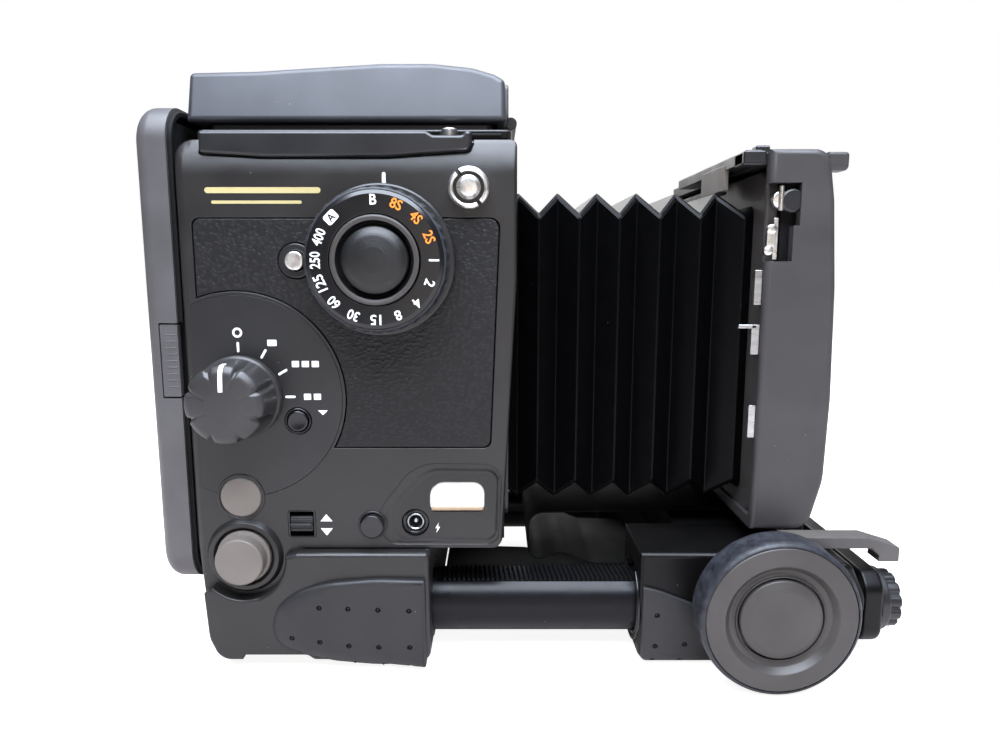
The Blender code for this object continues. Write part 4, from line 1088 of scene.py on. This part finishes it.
def base():
    """The base block, softened all round, with thicker sides that carry the grips."""
    x1, z0, z1 = BASE.x1, BASE.z0, BASE.z1
    lower = [(-35.1, 11.0, 12), (-32.6, z0, 5.5), (x1, z0, 2.4)]
    core = rounded([*lower, (x1, z1, 1.0), (-5.3, z1, 0.5), (-5.3, 22.2, 0), (-36.2, 22.2, 0)], 8)
    relief = plate(rounded([(-26, 0, 0), (-24.5, 5.2, 1.5), (-4, 5.2, 3), (2, 0, 0)]), -70, 70, "left", 0.0)
    cutters = [block((-26.3, 26.3), (-26.3, 26.3), (z0 - 1, 6.3)), relief.copy()]
    for _, side in HANDS:
        ends = [(x1 + reach, side * RAIL_Y, RAIL_Z) for reach in (-6, 2)]
        cutters.append(rod(11.4, *ends, 64, 0.1))
    bm = plate(core, -BASE_SIDE, BASE_SIDE, "left", 0.3, 0.3)
    make("base_shell", bm, "shell", "base_block", cutters=cutters)
    make("base_core", slab((-34.5, -5.0), (-55.8, 55.8), 1, (20.0, 38.6), "top", 0.4), "inner")
    cap = Extent("remote_cap")
    hollow = arc((cap.x, cap.z), 13.3, 4, -136, 30)
    near = [(-36.0, 25.4, 0), *lower, (x1, z1, 1.6), (-6.6, z1, 2.0), (*hollow[0], 0)]
    far = [*lower, (x1, z1, 1.6), (-5.6, z1, 1.6), (-5.6, 22.0, 1.0), (-35.9, 22.0, 1.0)]
    outlines = (rounded(near, 8)[:-1] + hollow, rounded(far, 8))
    for (name, side), outline in zip(HANDS, outlines):
        bm = plate(outline, BASE_SIDE - 0.5, BASE.y1, name, slab_rounding, steps=6)
        make(f"base_side_{name}", bm, "shell", cutters=[relief.copy()], angle=40)
        collar = [(10.5, 0, 0), (12.6, 0, 0), (12.6, 1.0, 0.4), (10.6, 1.0, 0.3)]
        bm = hoop(collar, (x1 - 0.9, side * RAIL_Y, RAIL_Z), FORWARD, 3)
        make(f"rod_collar_{name}", bm, "gloss")
        base_grip(name, side)
    finish_node("tripod_plate", "steel")


# Rails --------------------------------------------------------------------------------------


def rails():
    """Anodised rods, each with slanted rack teeth along the flat on its top."""
    pitch, foot, crest = 1.571, 24.2, 25.3
    for name, side in HANDS:
        y = side * RAIL_Y
        bm = rod(10.4, (ROD.x0, y, RAIL_Z), (ROD.x1, y, RAIL_Z), FINE, 0.6)
        flat = block((36.0, 173.0), (y - 8, y + 8), (foot + 0.1, 28))
        make(f"rod_{name}", bm, "anodised", f"rail_rod_{name}", cutters=[flat])
        teeth = []
        start = 38.0
        while start < 171.0:
            rings = []
            for across, lead in ((-5.8, 0.55), (5.8, -0.55)):
                tooth = ((-0.5, foot), (-0.2, crest), (0.2, crest), (0.5, foot))
                rings.append([(start + lead + offset, y + across, height) for offset, height in tooth])
            teeth.append(loft(rings))
            start += pitch
        make(f"rack_{name}", merged(teeth), "inner")


def crossbar():
    half = [(54, 3.8, 4), (59.5, 7, 6), (59.5, 24, 6), (55, 28.4, 4)]
    outline = [(-59.5, 7, 6), (-54, 3.8, 4), *half, (-55, 28.4, 4), (-59.5, 24, 6)]
    bm = plate(rounded(outline, 5), CROSSBAR.x0, CROSSBAR.x1, "front", 1.6, 0.8, steps=5)
    make("crossbar_shell", bm, "carriage", "rail_crossbar")
    seat = (CROSSBAR.x1, -RAIL_Y, RAIL_Z)
    length = Extent("rail_lock_knob").x1 - CROSSBAR.x1
    lobes = 12

    def lobed(turn, radius, height):
        return radius - 0.95 * (0.5 + 0.5 * math.cos(lobes * turn)) ** 3 if radius > 6.5 else radius

    collar = [(0, 0.2, 0), (10.4, 0.2, 0), (10.4, 3.0, 0.7), (8.0, 3.4, 0.3), (0, 3.4, 0)]
    ridge = [(0, 3.2, 0), (9.4, 3.2, 0), (9.5, length, 0.9), (7.0, length, 0), (0, length - 0.4, 0)]
    meshes = [lathe(collar, seat, FORWARD, 4), lathe(ridge, seat, FORWARD, 5, lobes * 14, lobed)]
    make("lock_knob_body", merged(meshes), "satin", "rail_lock_knob", body="lock_knob", angle=50)


# Carriage and knobs -------------------------------------------------------------------------

CARRIAGE_PITS = [(106.5, 17.0), (106.1, 6.6), (115.5, 7.2)]
CARRIAGE_EDGE_PITS = [(105.4, 1.9), (114.3, 1.9)]


def carriage_rounding(a, b):
    """The upper outer edge has a small bevel; the lower edge rolls under; ends are tight."""
    if b > 30:
        return (1.7, 1.7)
    return (0.9, 0.9) if b > 6 else (2.6, 2.6)


def carriage():
    corners = [(101.0, 0.6, 3.0), (101.0, 37.0, 0.6), (148.0, 37.0, 1.5), (149.5, 33.6, 1.0)]
    corners += [(168.0, 33.6, 3.5), (173.0, 22.0, 8), (172.2, 8.0, 6), (161.4, 1.5, 5)]
    outline = rounded([*corners, (140.0, 0.3, 0), (112.0, 0.3, 0)])
    for name, side in HANDS:
        y = side * RAIL_Y
        cutters = [rod(10.8, (99, y, RAIL_Z), (177, y, RAIL_Z), 64, 0.1)]
        cutters.append(block((99, 177), (y - 3.5, y + 3.5), (20, 29.6)))
        cutters.append(block((133.2, 144.6), (side * 44.0, side * 61.1), (18.6, 36.0)))
        bm = plate(outline, 34.0, 62.0, name, carriage_rounding, 0.8, steps=6)
        hides = ["carriage"] if side < 0 else ()
        carried(f"carriage_block_{name}", bm, "carriage", *hides, cutters=cutters, angle=28)
        for index, (inner, outer) in enumerate(((10.9, 12.0), (12.5, 13.6))):
            bush = [(inner, 0, 0), (outer, 0, 0), (outer, 0.7, 0.3), (inner, 0.7, 0.3)]
            ring = hoop(bush, (101.3, y, RAIL_Z), (-1, 0, 0), 3)
            gap = block((99, 103), (y - 6.4, y + 6.4), (23.9, 32.0))
            carried(f"carriage_seal_{name}_{index + 1}", ring, "gloss", cutters=[gap])
        hub = [(0, 0, 0), (15.5, 0, 0), (14.2, 6.9, 1.0), (0, 7.4, 0)]
        bm = lathe(hub, (KNOB.x, side * 61.2, KNOB.z), (0, side, 0), 4, 64)
        carried(f"carriage_hub_{name}", bm, "carriage")
        carriage_grip(name, side)
    carried("carriage_bridge", slab((118.5, 164.5), (-34.5, 34.5), 2, (20.0, 36.5), "top", 0.8), "inner")
    finish_node("pinion_shaft", "steel")


def carried(*values, **options):
    """A piece that rides on the carriage."""
    return make(*values, body="focus_carriage", **options)


def carriage_grip(name, side):
    corners = [(101.8, 0.5, 2.0), (128, 0.5, 1.0), (128, 14.0, 0.5), (118.2, 20.6, 20), (107.0, 25.2, 30)]

    def roll(a, b):
        return (3.6, 3.0) if b < 6 else (0.6, 0.5)

    pits, nubs = pit_tools(CARRIAGE_PITS, CARRIAGE_EDGE_PITS, side, 63.5, 62.4)
    bm = plate(rounded([*corners, (101.8, 26.4, 0.4)]), 60.4, 63.5, name, roll, steps=6)
    carried(f"carriage_pad_{name}", bm, "grip", f"carriage_grip_{name}", cutters=[pits], angle=50)
    carried(f"carriage_nubs_{name}", nubs, "grip", angle=60)


def focus_knobs():
    profile = [(0, 8.0, 0), (18.0, 8.0, 0.5), (22.4, 9.4, 0.5), (22.4, 20.2, 0.8), (16.9, 20.5, 0.8)]
    profile += [(15.2, 18.4, 1.2), (13.4, 17.9, 0.5), (13.2, 18.9, 0.3), (12.9, 19.1, 0.2), (12.7, 17.2, 0)]
    profile += [(12.2, 17.2, 0), (12.2, 19.4, 0.7), (9.5, 20.6, 5), (4.0, 21.1, 5), (0, 21.2, 0)]
    ring = [(22.5, 9.4), (23.2, 9.4), *((23.8, 10.2 + 8.2 * step / 14) for step in range(15))]
    ring += [(23.5, 19.4), (22.9, 20.0), (22.5, 20.0)]
    lobes = 22

    def wavy(turn, radius, height):
        wave = (0.5 + 0.5 * math.cos(lobes * turn)) ** 2
        middle = max(0.0, 1 - abs(height - 13.6) / 3.6)
        return radius - 0.5 * wave * middle if radius > 23 else radius

    for name, side in HANDS:
        seat, out, body = (KNOB.x, side * 61.0, KNOB.z), (0, side, 0), f"knob_{name}"
        make(f"{body}_body", lathe(profile, seat, out, 5, 128), "grey", f"focus_{body}", body=body)
        bm = turned(ring, seat, out, lobes * 12, wavy, ring=True)
        make(f"{body}_tyre", bm, "rubber", f"knob_rubber_{name}", body=body, angle=60)


def bracket_arms():
    corners = [(148.3, 33.8, 0), (180.2, 33.8, 0.8), (182.8, 31.4, 0.8), (182.6, 29.3, 0.3)]
    corners += [(189.5, 29.3, 0.4), (189.5, 34.2, 0.8), (178.6, 37.6, 1.0), (148.3, 37.6, 0)]
    for name, _ in HANDS:
        node = f"bracket_arm_{name}"
        reach = sorted((abs(Extent(node).y0), abs(Extent(node).y1)))
        carried(f"bracket_{name}", plate(rounded(corners, 4), *reach, name, 0.25, 0.25), "bracket", node)


# Front standard -----------------------------------------------------------------------------


def standard():
    """The moulded cover of the standard: a bowed front, wide soft corners, an open rear."""
    rear = STANDARD.x0 - 1
    corners = [(STANDARD.x0, 44.0, 0), (154.0, 44.0, 6), (158.2, 60.0, 20), (158.8, 86.0, 60)]
    corners += [(157.8, 120.0, 60), (155.9, 146.0, 30), (153.6, 160.8, 5), (STANDARD.x0, 160.8, 0)]
    cutters = [
        slab((-56.5, 56.5), (47.5, 157.0), 2, (rear, 153.2), "front", 0.0),
        slab((-50, 50), (50, 150), 6, (150, 162), "front", 0.0),
        block((rear, 145.5), (-61, -55), (138.5, 151.0)),
        block((rear, 143.7), (-61, -55), (128.0, 139.0)),
    ]
    bm = plate(rounded(corners, 8), -60.0, 60.0, "left", 2.0, 2.0, steps=5)
    carried("standard_shell", bm, "standard", "standard_cover", cutters=cutters, soft=0.4)
    hole = [rectangle(-45, 45, 55, 145, 6)]
    bm = slab((-55.7, 55.7), (48.3, 155.7), 4, (141.3, 152.7), "front", 0.4, holes=hole, hole_edge=1.0)
    carried("standard_frame", bm, "inner", "front_frame")
    bm = slab((-49.4, 49.4), (50.6, 149.4), 6, (152.5, 153.7), "front", 0.3, holes=hole, hole_edge=0.3)
    carried("lens_ledge", bm, "satin")
    carried("standard_foot", slab((141.3, 152.7), (-41, 41), 2, (36.6, 50.0), "top", 0.3), "inner")
    hole = [rectangle(-43, 43, 57, 143, 5)]
    bm = slab((-54, 54), (46.5, 155.6), 7, (137.2, 141.2), "front", 0.8, back=1.0, holes=hole, hole_edge=0.5)
    carried("standard_rear_plate", bm, "grey")
    corner = rounded([(-59, 160.0, 1), (-52, 160.0, 2), (-52, 154.6, 1.5), (-59, 154.6, 1.5)])
    carried("standard_corner_tab", plate(corner, 153.5, 159.6, "front", 1.2), "standard")
    tab = rounded([(-6, 156.6, 1), (6, 156.6, 1), (6, 160.2, 1.5), (-6, 160.2, 1.5)], 4)
    carried("lens_catch_tab", plate(tab, 152.0, 158.4, "front", 0.8), "satin")


def linkages():
    """Bright link pieces in the rear notches of the standard's near side."""
    y = -56.8
    pieces = []
    for x, z, radius in ((140.2, 146.2, 2.6), (138.0, 137.6, 1.5), (137.2, 131.2, 1.4)):
        profile = [(0, 0, 0), (radius, 0, 0), (radius, 1.6, 0.3), (radius * 0.4, 1.8, 0.2), (0, 1.8, 0)]
        pieces.append(lathe(profile, (x, y, z), OUT, 3, 32))
    pieces.append(rod(0.8, (140.0, -58.6, 143.0), (140.0, -58.6, 150.3), 16, 0.2))
    pieces.append(slab((136.5, 139.2), (132.4, 137.2), 0.5, (57.0, 58.4), "right", 0.3))
    pieces.append(slab((138.6, 140.0), (128.6, 141.0), 0.3, (56.8, 57.8), "right", 0.2))
    carried("link_screws", merged(pieces), "chrome")
    reaches = [((133.6, 135.9), (115.0, 125.5)), ((133.4, 135.9), (99.8, 108.9))]
    reaches += [((129.4, 135.0), (107.8, 109.0)), ((133.8, 136.0), (73.6, 83.8))]
    strips = [slab(x, z, 0.3, (57.2, 58.2), "right", 0.2) for x, z in reaches]
    carried("link_strips", merged(strips), "steel")
    head = [(0, 0, 0), (3.5, 0, 0), (3.5, 1.6, 0.4), (2.9, 2.0, 0.3), (0, 2.0, 0)]
    carried("link_pin_head", lathe(head, (143.4, -57.4, 145.9), OUT, 4, 48), "satin")


def lens_lock():
    bar = Extent("lens_lock_bar")
    meshes = [slab((128.6, 135.5), (bar.y0, bar.y1), 0.8, (157.0, 160.4), "top", 0.5)]
    meshes.append(slab((129, 134), (-26, -18), 0.6, (150.8, 158.0), "top", 0.3))
    for reach in ((-57, -50), (-44, -34), (-24, -12), (4, 12)):
        meshes.append(slab((129.4, 134.8), reach, 0.8, (160.0, 160.8), "top", 0.4))
    make("lens_lock_slider", merged(meshes), "satin", "lens_lock_bar", body="lens_lock")
    face = slab((-40, -14), (150.5, 158.6), 0.6, (-129.8, -128.4), "rear", 0.3)
    make("lens_lock_plate", face, "cap", body="lens_lock")
    lever = [slab((-57, -49), (156.2, 160.4), 1.0, (-137.5, -128.6), "rear", 0.6)]
    lever.append(slab((-55.5, -51), (159.8, 162.4), 0.8, (-137.0, -133.0), "rear", 0.6))
    make("lens_lock_lever", merged(lever), "satin", body="lens_lock")


# Bellows ------------------------------------------------------------------------------------

PLEAT_PITCH = 12.8
FIRST_PEAK = 62.5  # of the top folds; the side folds stand out between the peaks
BELLOWS_Z = 99.0


def bellows_ring(x, out_top, out_side, wall=0.0):
    """One section of the bellows: top and side folds have their own depth."""
    half_y, half_z, chamfer, fold = 46.0, 51.0, 2.4, 6.5
    y = half_y - fold * (1 - out_side)
    z = half_z - fold * (1 - out_top)
    quarter = [(y, z - chamfer), (y - chamfer * 0.35, z - chamfer * 0.42), (y - chamfer, z)]
    loop = []
    for y_sign, z_sign in ((1, 1), (-1, 1), (-1, -1), (1, -1)):
        corner = quarter if y_sign * z_sign > 0 else quarter[::-1]
        loop += [(x, y_sign * (a - wall), BELLOWS_Z + z_sign * (b - wall)) for a, b in corner]
    return loop


def blend_evenly(obj):
    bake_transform(obj)


def eased(share):
    """Share of a fold's rise, with the ridge and the valley rounded off."""
    if share < 0.07:
        share = 0.035 + share * share / 0.14
    elif share > 0.93:
        share = 0.965 - (1 - share) ** 2 / 0.14
    return 0.5 + (share - 0.5) / 0.93


def bellows():
    """Each half pleat is its own strip."""
    rear, front = BELLOWS.x0, BELLOWS.x1
    edges = [(rear, 0.35)] + [(FIRST_PEAK + PLEAT_PITCH * step / 2, 1 - step % 2) for step in range(11)]
    edges += [(134.0, 0), (front, 0.7)]
    for index, ((near, before), (far, after)) in enumerate(zip(edges, edges[1:])):
        bm = bmesh.new()
        skins = []
        for wall in (0.0, 0.8):
            skin = []
            for share in (0, 0.03, 0.07, 0.3, 0.6, 0.93, 0.97, 1):
                out_top = before + (after - before) * (eased(share) * 0.995)
                ring = bellows_ring(near + (far - near) * share, out_top, 1 - out_top, wall)
                skin.append([bm.verts.new(point) for point in ring])
            skins.append(skin)
        outer, inner = skins
        for first, second in zip(outer, outer[1:]):
            bridge(bm, first, second)
        for first, second in zip(inner, inner[1:]):
            bridge(bm, second, first)
        bridge(bm, inner[0], outer[0])
        bridge(bm, outer[-1], inner[-1])
        hides = ["bellows"] if index == 0 else ()
        obj = make(f"bellows_fold_{index + 1}", bm, "bellows", *hides, body=None)
        blend_evenly(obj)


def ribbon():
    """Flat cable folded in loops under the bellows, from the base block to the front frame."""
    half = 0.25
    corners = [(35.2, 5.4, 0), (68.0, 4.4, 8), (80.0, 2.0, 8), (98.0, 2.0, 8), (112.5, 6.5, 5)]
    corners += [(112.5, 17.2, 4), (91.0, 17.6, 8), (79.0, 22.4, 6), (67.2, 17.0, 4.5), (67.2, 37.2, 5.4)]
    line = rounded([*corners, (140.9, 38.7, 0)], 8, closed=False)
    upper, lower = [], []
    for index, point in enumerate(line):
        along = (line[min(index + 1, len(line) - 1)] - line[max(index - 1, 0)]).normalized()
        across = Vector((-along.y, along.x)) * half
        upper.append(point + across)
        lower.append(point - across)
    rings = [[(p.x, y, p.y) for p in upper + lower[::-1]] for y in (-24.0, 24.0)]
    obj = make("flat_cable", loft(rings), "inner", "flex_ribbon", body=None, angle=50)
    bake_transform(obj)


# Finder and hood ----------------------------------------------------------------------------

HOOD_REAR = LID.x0 - 1.0


def finder():
    box = Extent("finder_base")
    well = [rectangle(-25, 51, -42, 42, 2)]
    tiers = [slab((box.x0, box.x1), (-52, 52), 2.5, (box.z0, 167.4), "top", holes=well)]
    tiers.append(slab((-33, 54), (-47, 47), 2, (166.8, 169.9), "top", holes=well))
    make("finder_frame", merged(tiers), "satin", "finder_base")
    rail = [slab((-34, 38.4), (166.0, 167.0), 0.4, (51.5, 52.4), "right", 0.3)]
    rail.append(slab((44, 59), (164.6, 166.9), 0.5, (51.5, 53.0), "right", 0.3))
    rail.append(slab((48, 57), (165.1, 166.0), 0.3, (52.5, 53.4), "right", 0.2))
    make("finder_rail", merged(rail), "carriage")
    screw = [(0, 0, 0), (1.1, 0, 0), (1.1, 1.2, 0.4), (0, 1.4, 0)]
    make("finder_screw", lathe(screw, (-27.4, -54.5, 163.4), UP, 4, 32), "chrome")
    finish_node("focusing_screen", "glass")
    for name, _ in HANDS:
        finish_node(f"hood_panel_{name}", "satin", 0.2)
    finish_node("magnifier_frame", "satin", 0.3)
    finish_node("magnifier_lens", "glass")


def hood():
    """The lid of the hood: a bowed top, sides that lean in, and a rimmed front end."""
    corners = [(HOOD_REAR, 170.2, 0.6), (58.6, 170.2, 0.6), (58.0, 183.0, 2.0), (55.0, 184.8, 3.0)]
    corners += [(48.0, 186.9, 14), (36.0, 188.2, 30), (20.0, 188.2, 30), (-3.0, 186.8, 40)]
    profile = rounded([*corners, (-18.0, 185.8, 40), (HOOD_REAR + 0.4, 185.3, 1.6)], 8)
    lean, radius, half, steps = 4.2, 1.8, 50.0, 7

    def ring_at(side, turn):
        inset = radius * (1 - math.cos(turn))
        y = half - radius + radius * math.sin(turn)
        placed = []
        for point in shrink(profile, [inset] * len(profile)):
            share = max(0.0, (point.y - 170.2) / 18.2)
            placed.append((point.x, side * (y - lean * share), point.y))
        return placed

    turns = [math.pi / 2 * step / steps for step in range(steps + 1)]
    bm = loft([ring_at(-1, turn) for turn in turns[::-1]] + [ring_at(1, turn) for turn in turns])
    cavity = block((-35.0, 55.8), (-44.5, 44.5), (168.0, 182.4))
    make("hood_shell", bm, "hood", "hood_lid", body="hood", cutters=[cavity])
    barrel = rod(1.9, (60.0, -41, 171.2), (60.0, 41, 171.2), 32, 0.2)
    make("hood_hinge", barrel, "satin", body="hood")
    strip = rounded([(-45.5, 172.0, 1), (45.5, 172.0, 1), (43.5, 182.6, 2), (-43.5, 182.6, 2)], 4)
    make("hood_end_plate", plate(strip, 57.6, 59.2, "front"), "grey", body="hood")


def mirror_chamber():
    finish_node("mirror_box", "inner", 0.3)
    finish_node("mirror_frame", "inner")
    finish_node("mirror_glass", "mirror")
    holes = [rectangle(-27, 53, -44, 44, 2)]
    bm = slab((-38, 61), (-56.2, 56.2), 3, (158.3, 163.4), "top", 0.6, holes=holes)
    well = rod(2.7, (*BUTTON, 157.0), (*BUTTON, 165.0), 48)
    make("top_deck", bm, "shell", "top_plate", cutters=[well])
    holes = [rectangle(-42, 42, 55, 143, 5)]
    flange = slab((-50.5, 50.5), (44.5, 153.5), 6, (58.2, 59.4), "front", 0.4, holes=holes)
    make("bellows_flange", flange, "satin")


# Back ---------------------------------------------------------------------------------------


def back_outline(inset, radius, segments=6):
    side, low, high = BACK.y1 - inset, BACK.z0 + inset, BACK.z1 - inset
    return rectangle(-side, side, low, high, radius, segments)


def latch_gap(side, rear, low, high):
    return block((rear, BACK.x1 + 1), (side * 56.0, side * 61.0), (low, high))


def back():
    finish_node("revolving_adapter", "satin", 0.5)
    wall = 2.5
    bm = plate(back_outline(0.0, 11, 10), 41.3, -BACK.x0, "rear", (8.0, 5.5), steps=8)
    cavity = plate(back_outline(wall, 8.5, 10), 40.0, -BACK.x0 - wall, "rear", (5.5, 4.0), steps=6)
    gaps = [latch_gap(side, -47.0, 86.4, 109.6) for _, side in HANDS]
    make("back_shell", bm, "back", "rear_cover", body="back_cover", cutters=[cavity, *gaps])
    lip = plate(back_outline(1.1, 10), -42.5, BACK.x1, "front", 0.3, holes=[back_outline(2.6, 8.5)])
    gaps = [latch_gap(side, -43.5, 86.0, 110.0) for _, side in HANDS]
    make("back_lip", lip, "inner", body="back_cover", cutters=gaps)
    for name, _ in HANDS:
        ribs = [slab((-46.75, -41.4), (86.9, 109.1), 0.3, (57.7, 59.8), name, 0.1)]
        for step in range(9):
            z = 90.0 + 2.0 * step
            ribs.append(slab((-45.2, -42.0), (z - 0.25, z + 0.25), 0.1, (59.5, 59.9), name, 0.15))
        bm = merged(ribs)
        make(f"latch_{name}_plate", bm, "back", f"cover_latch_{name}", body=f"latch_{name}")


# Stage --------------------------------------------------------------------------------------


def place_in_scene(name, data, location, rotation=(0, 0, 0)):
    obj = bpy.data.objects.new(name, data)
    bpy.context.scene.collection.objects.link(obj)
    obj.location = location
    obj.rotation_euler = rotation
    return obj


def camera_ray(nodes):
    return nodes.add("ShaderNodeLightPath").outputs["Is Camera Ray"]


def pale_floor():
    bm = bmesh.new()
    bmesh.ops.create_grid(bm, x_segments=2, y_segments=2, size=3.0)
    mesh = bpy.data.meshes.new("floor")
    bm.to_mesh(mesh)
    bm.free()
    material = bpy.data.materials.new("pale_floor")
    material.use_nodes = True
    nodes = Nodes(material.node_tree)
    inputs = {"Value": camera_ray(nodes), "To Min": 0.1, "To Max": 0.9}
    glow = nodes.add("ShaderNodeMapRange", inputs).outputs["Result"]
    inputs = {"Base Color": (0.55, 0.5, 0.47, 1), "Roughness": 0.9}
    inputs |= {"Emission Color": (1, 1, 1, 1), "Emission Strength": glow}
    nodes.feed(nodes.tree.nodes["Principled BSDF"], inputs)
    mesh.materials.append(material)
    return place_in_scene("floor", mesh, (0.05, 0.6, -0.0003))


def stage():
    """Pale floor, soft studio lights, and the camera."""
    pale_floor()
    studio_world()
    area_light("overhead", (0.05, -0.3, 0.85), (0.05, 0.0, 0.12), 0.85, 34.0, (0.82, 0.9, 1.04))
    area_light("behind", (0.1, 0.9, 0.7), (0.05, 0.0, 0.1), 1.0, 8.0, (1.0, 1.0, 1.0))
    area_light("low_front", (0.15, -0.9, 0.12), (0.05, 0.0, 0.1), 0.5, 0.8, (1.0, 0.9, 0.8))
    camera = bpy.data.cameras.new("camera")
    camera.lens = 26.06
    camera.sensor_width = 36.0
    camera.shift_x = 0.005
    camera.clip_start = 0.01
    tilt = math.radians(90 - 8.64)
    bpy.context.scene.camera = place_in_scene("camera", camera, (0.055, -0.279, 0.127), (tilt, 0, 0))


def studio_world():
    """White to the eye; what lights the object is softer, bluish above and warm below."""
    world = bpy.data.worlds.new("studio")
    world.use_nodes = True
    nodes = Nodes(world.node_tree)
    seen = nodes.tree.nodes["Background"]
    nodes.feed(seen, {"Color": (1.0, 1.0, 1.0, 1), "Strength": 1.0})
    sky = nodes.add("ShaderNodeTexCoord").outputs["Generated"]
    rise = nodes.add("ShaderNodeSeparateXYZ", {"Vector": sky}).outputs["Z"]
    colour = nodes.ramp(rise, (0.0, (0.46, 0.4, 0.36)), (0.3, (0.3, 0.29, 0.29)), (1.0, (0.75, 0.82, 1.0)))
    lit = nodes.add("ShaderNodeBackground", {"Strength": 0.38, "Color": colour}).outputs[0]
    mix = nodes.add("ShaderNodeMixShader", {"Fac": camera_ray(nodes), 1: lit, 2: seen.outputs[0]})
    nodes.feed(nodes.tree.nodes["World Output"], {"Surface": mix.outputs[0]})
    bpy.context.scene.world = world
    bpy.context.scene.view_settings.view_transform = "Standard"


def area_light(name, place, target, size, power, colour):
    data = bpy.data.lights.new(name, "AREA")
    data.shape = "SQUARE"
    data.size = size
    data.energy = power
    data.color = colour
    aim = (Vector(target) - Vector(place)).to_track_quat("-Z", "Y").to_euler()
    place_in_scene(name, data, place, aim)


SIDE_PANELS = (right_cover, inlays, pocket, left_cover)
CONTROLS = (speed_dial, mode_knob, small_controls, sync_socket, remote_socket, mirror_switch, strap_lugs)
MARKS = (printed_marks, window)
FRAMEWORK = (finder_controls, base, rails, crossbar, carriage, focus_knobs, bracket_arms)
FRONT_AND_TOP = (standard, linkages, lens_lock, bellows, ribbon, finder, hood, mirror_chamber, back)
for build in (*SIDE_PANELS, *CONTROLS, *MARKS, *FRAMEWORK, *FRONT_AND_TOP, stage):
    build()
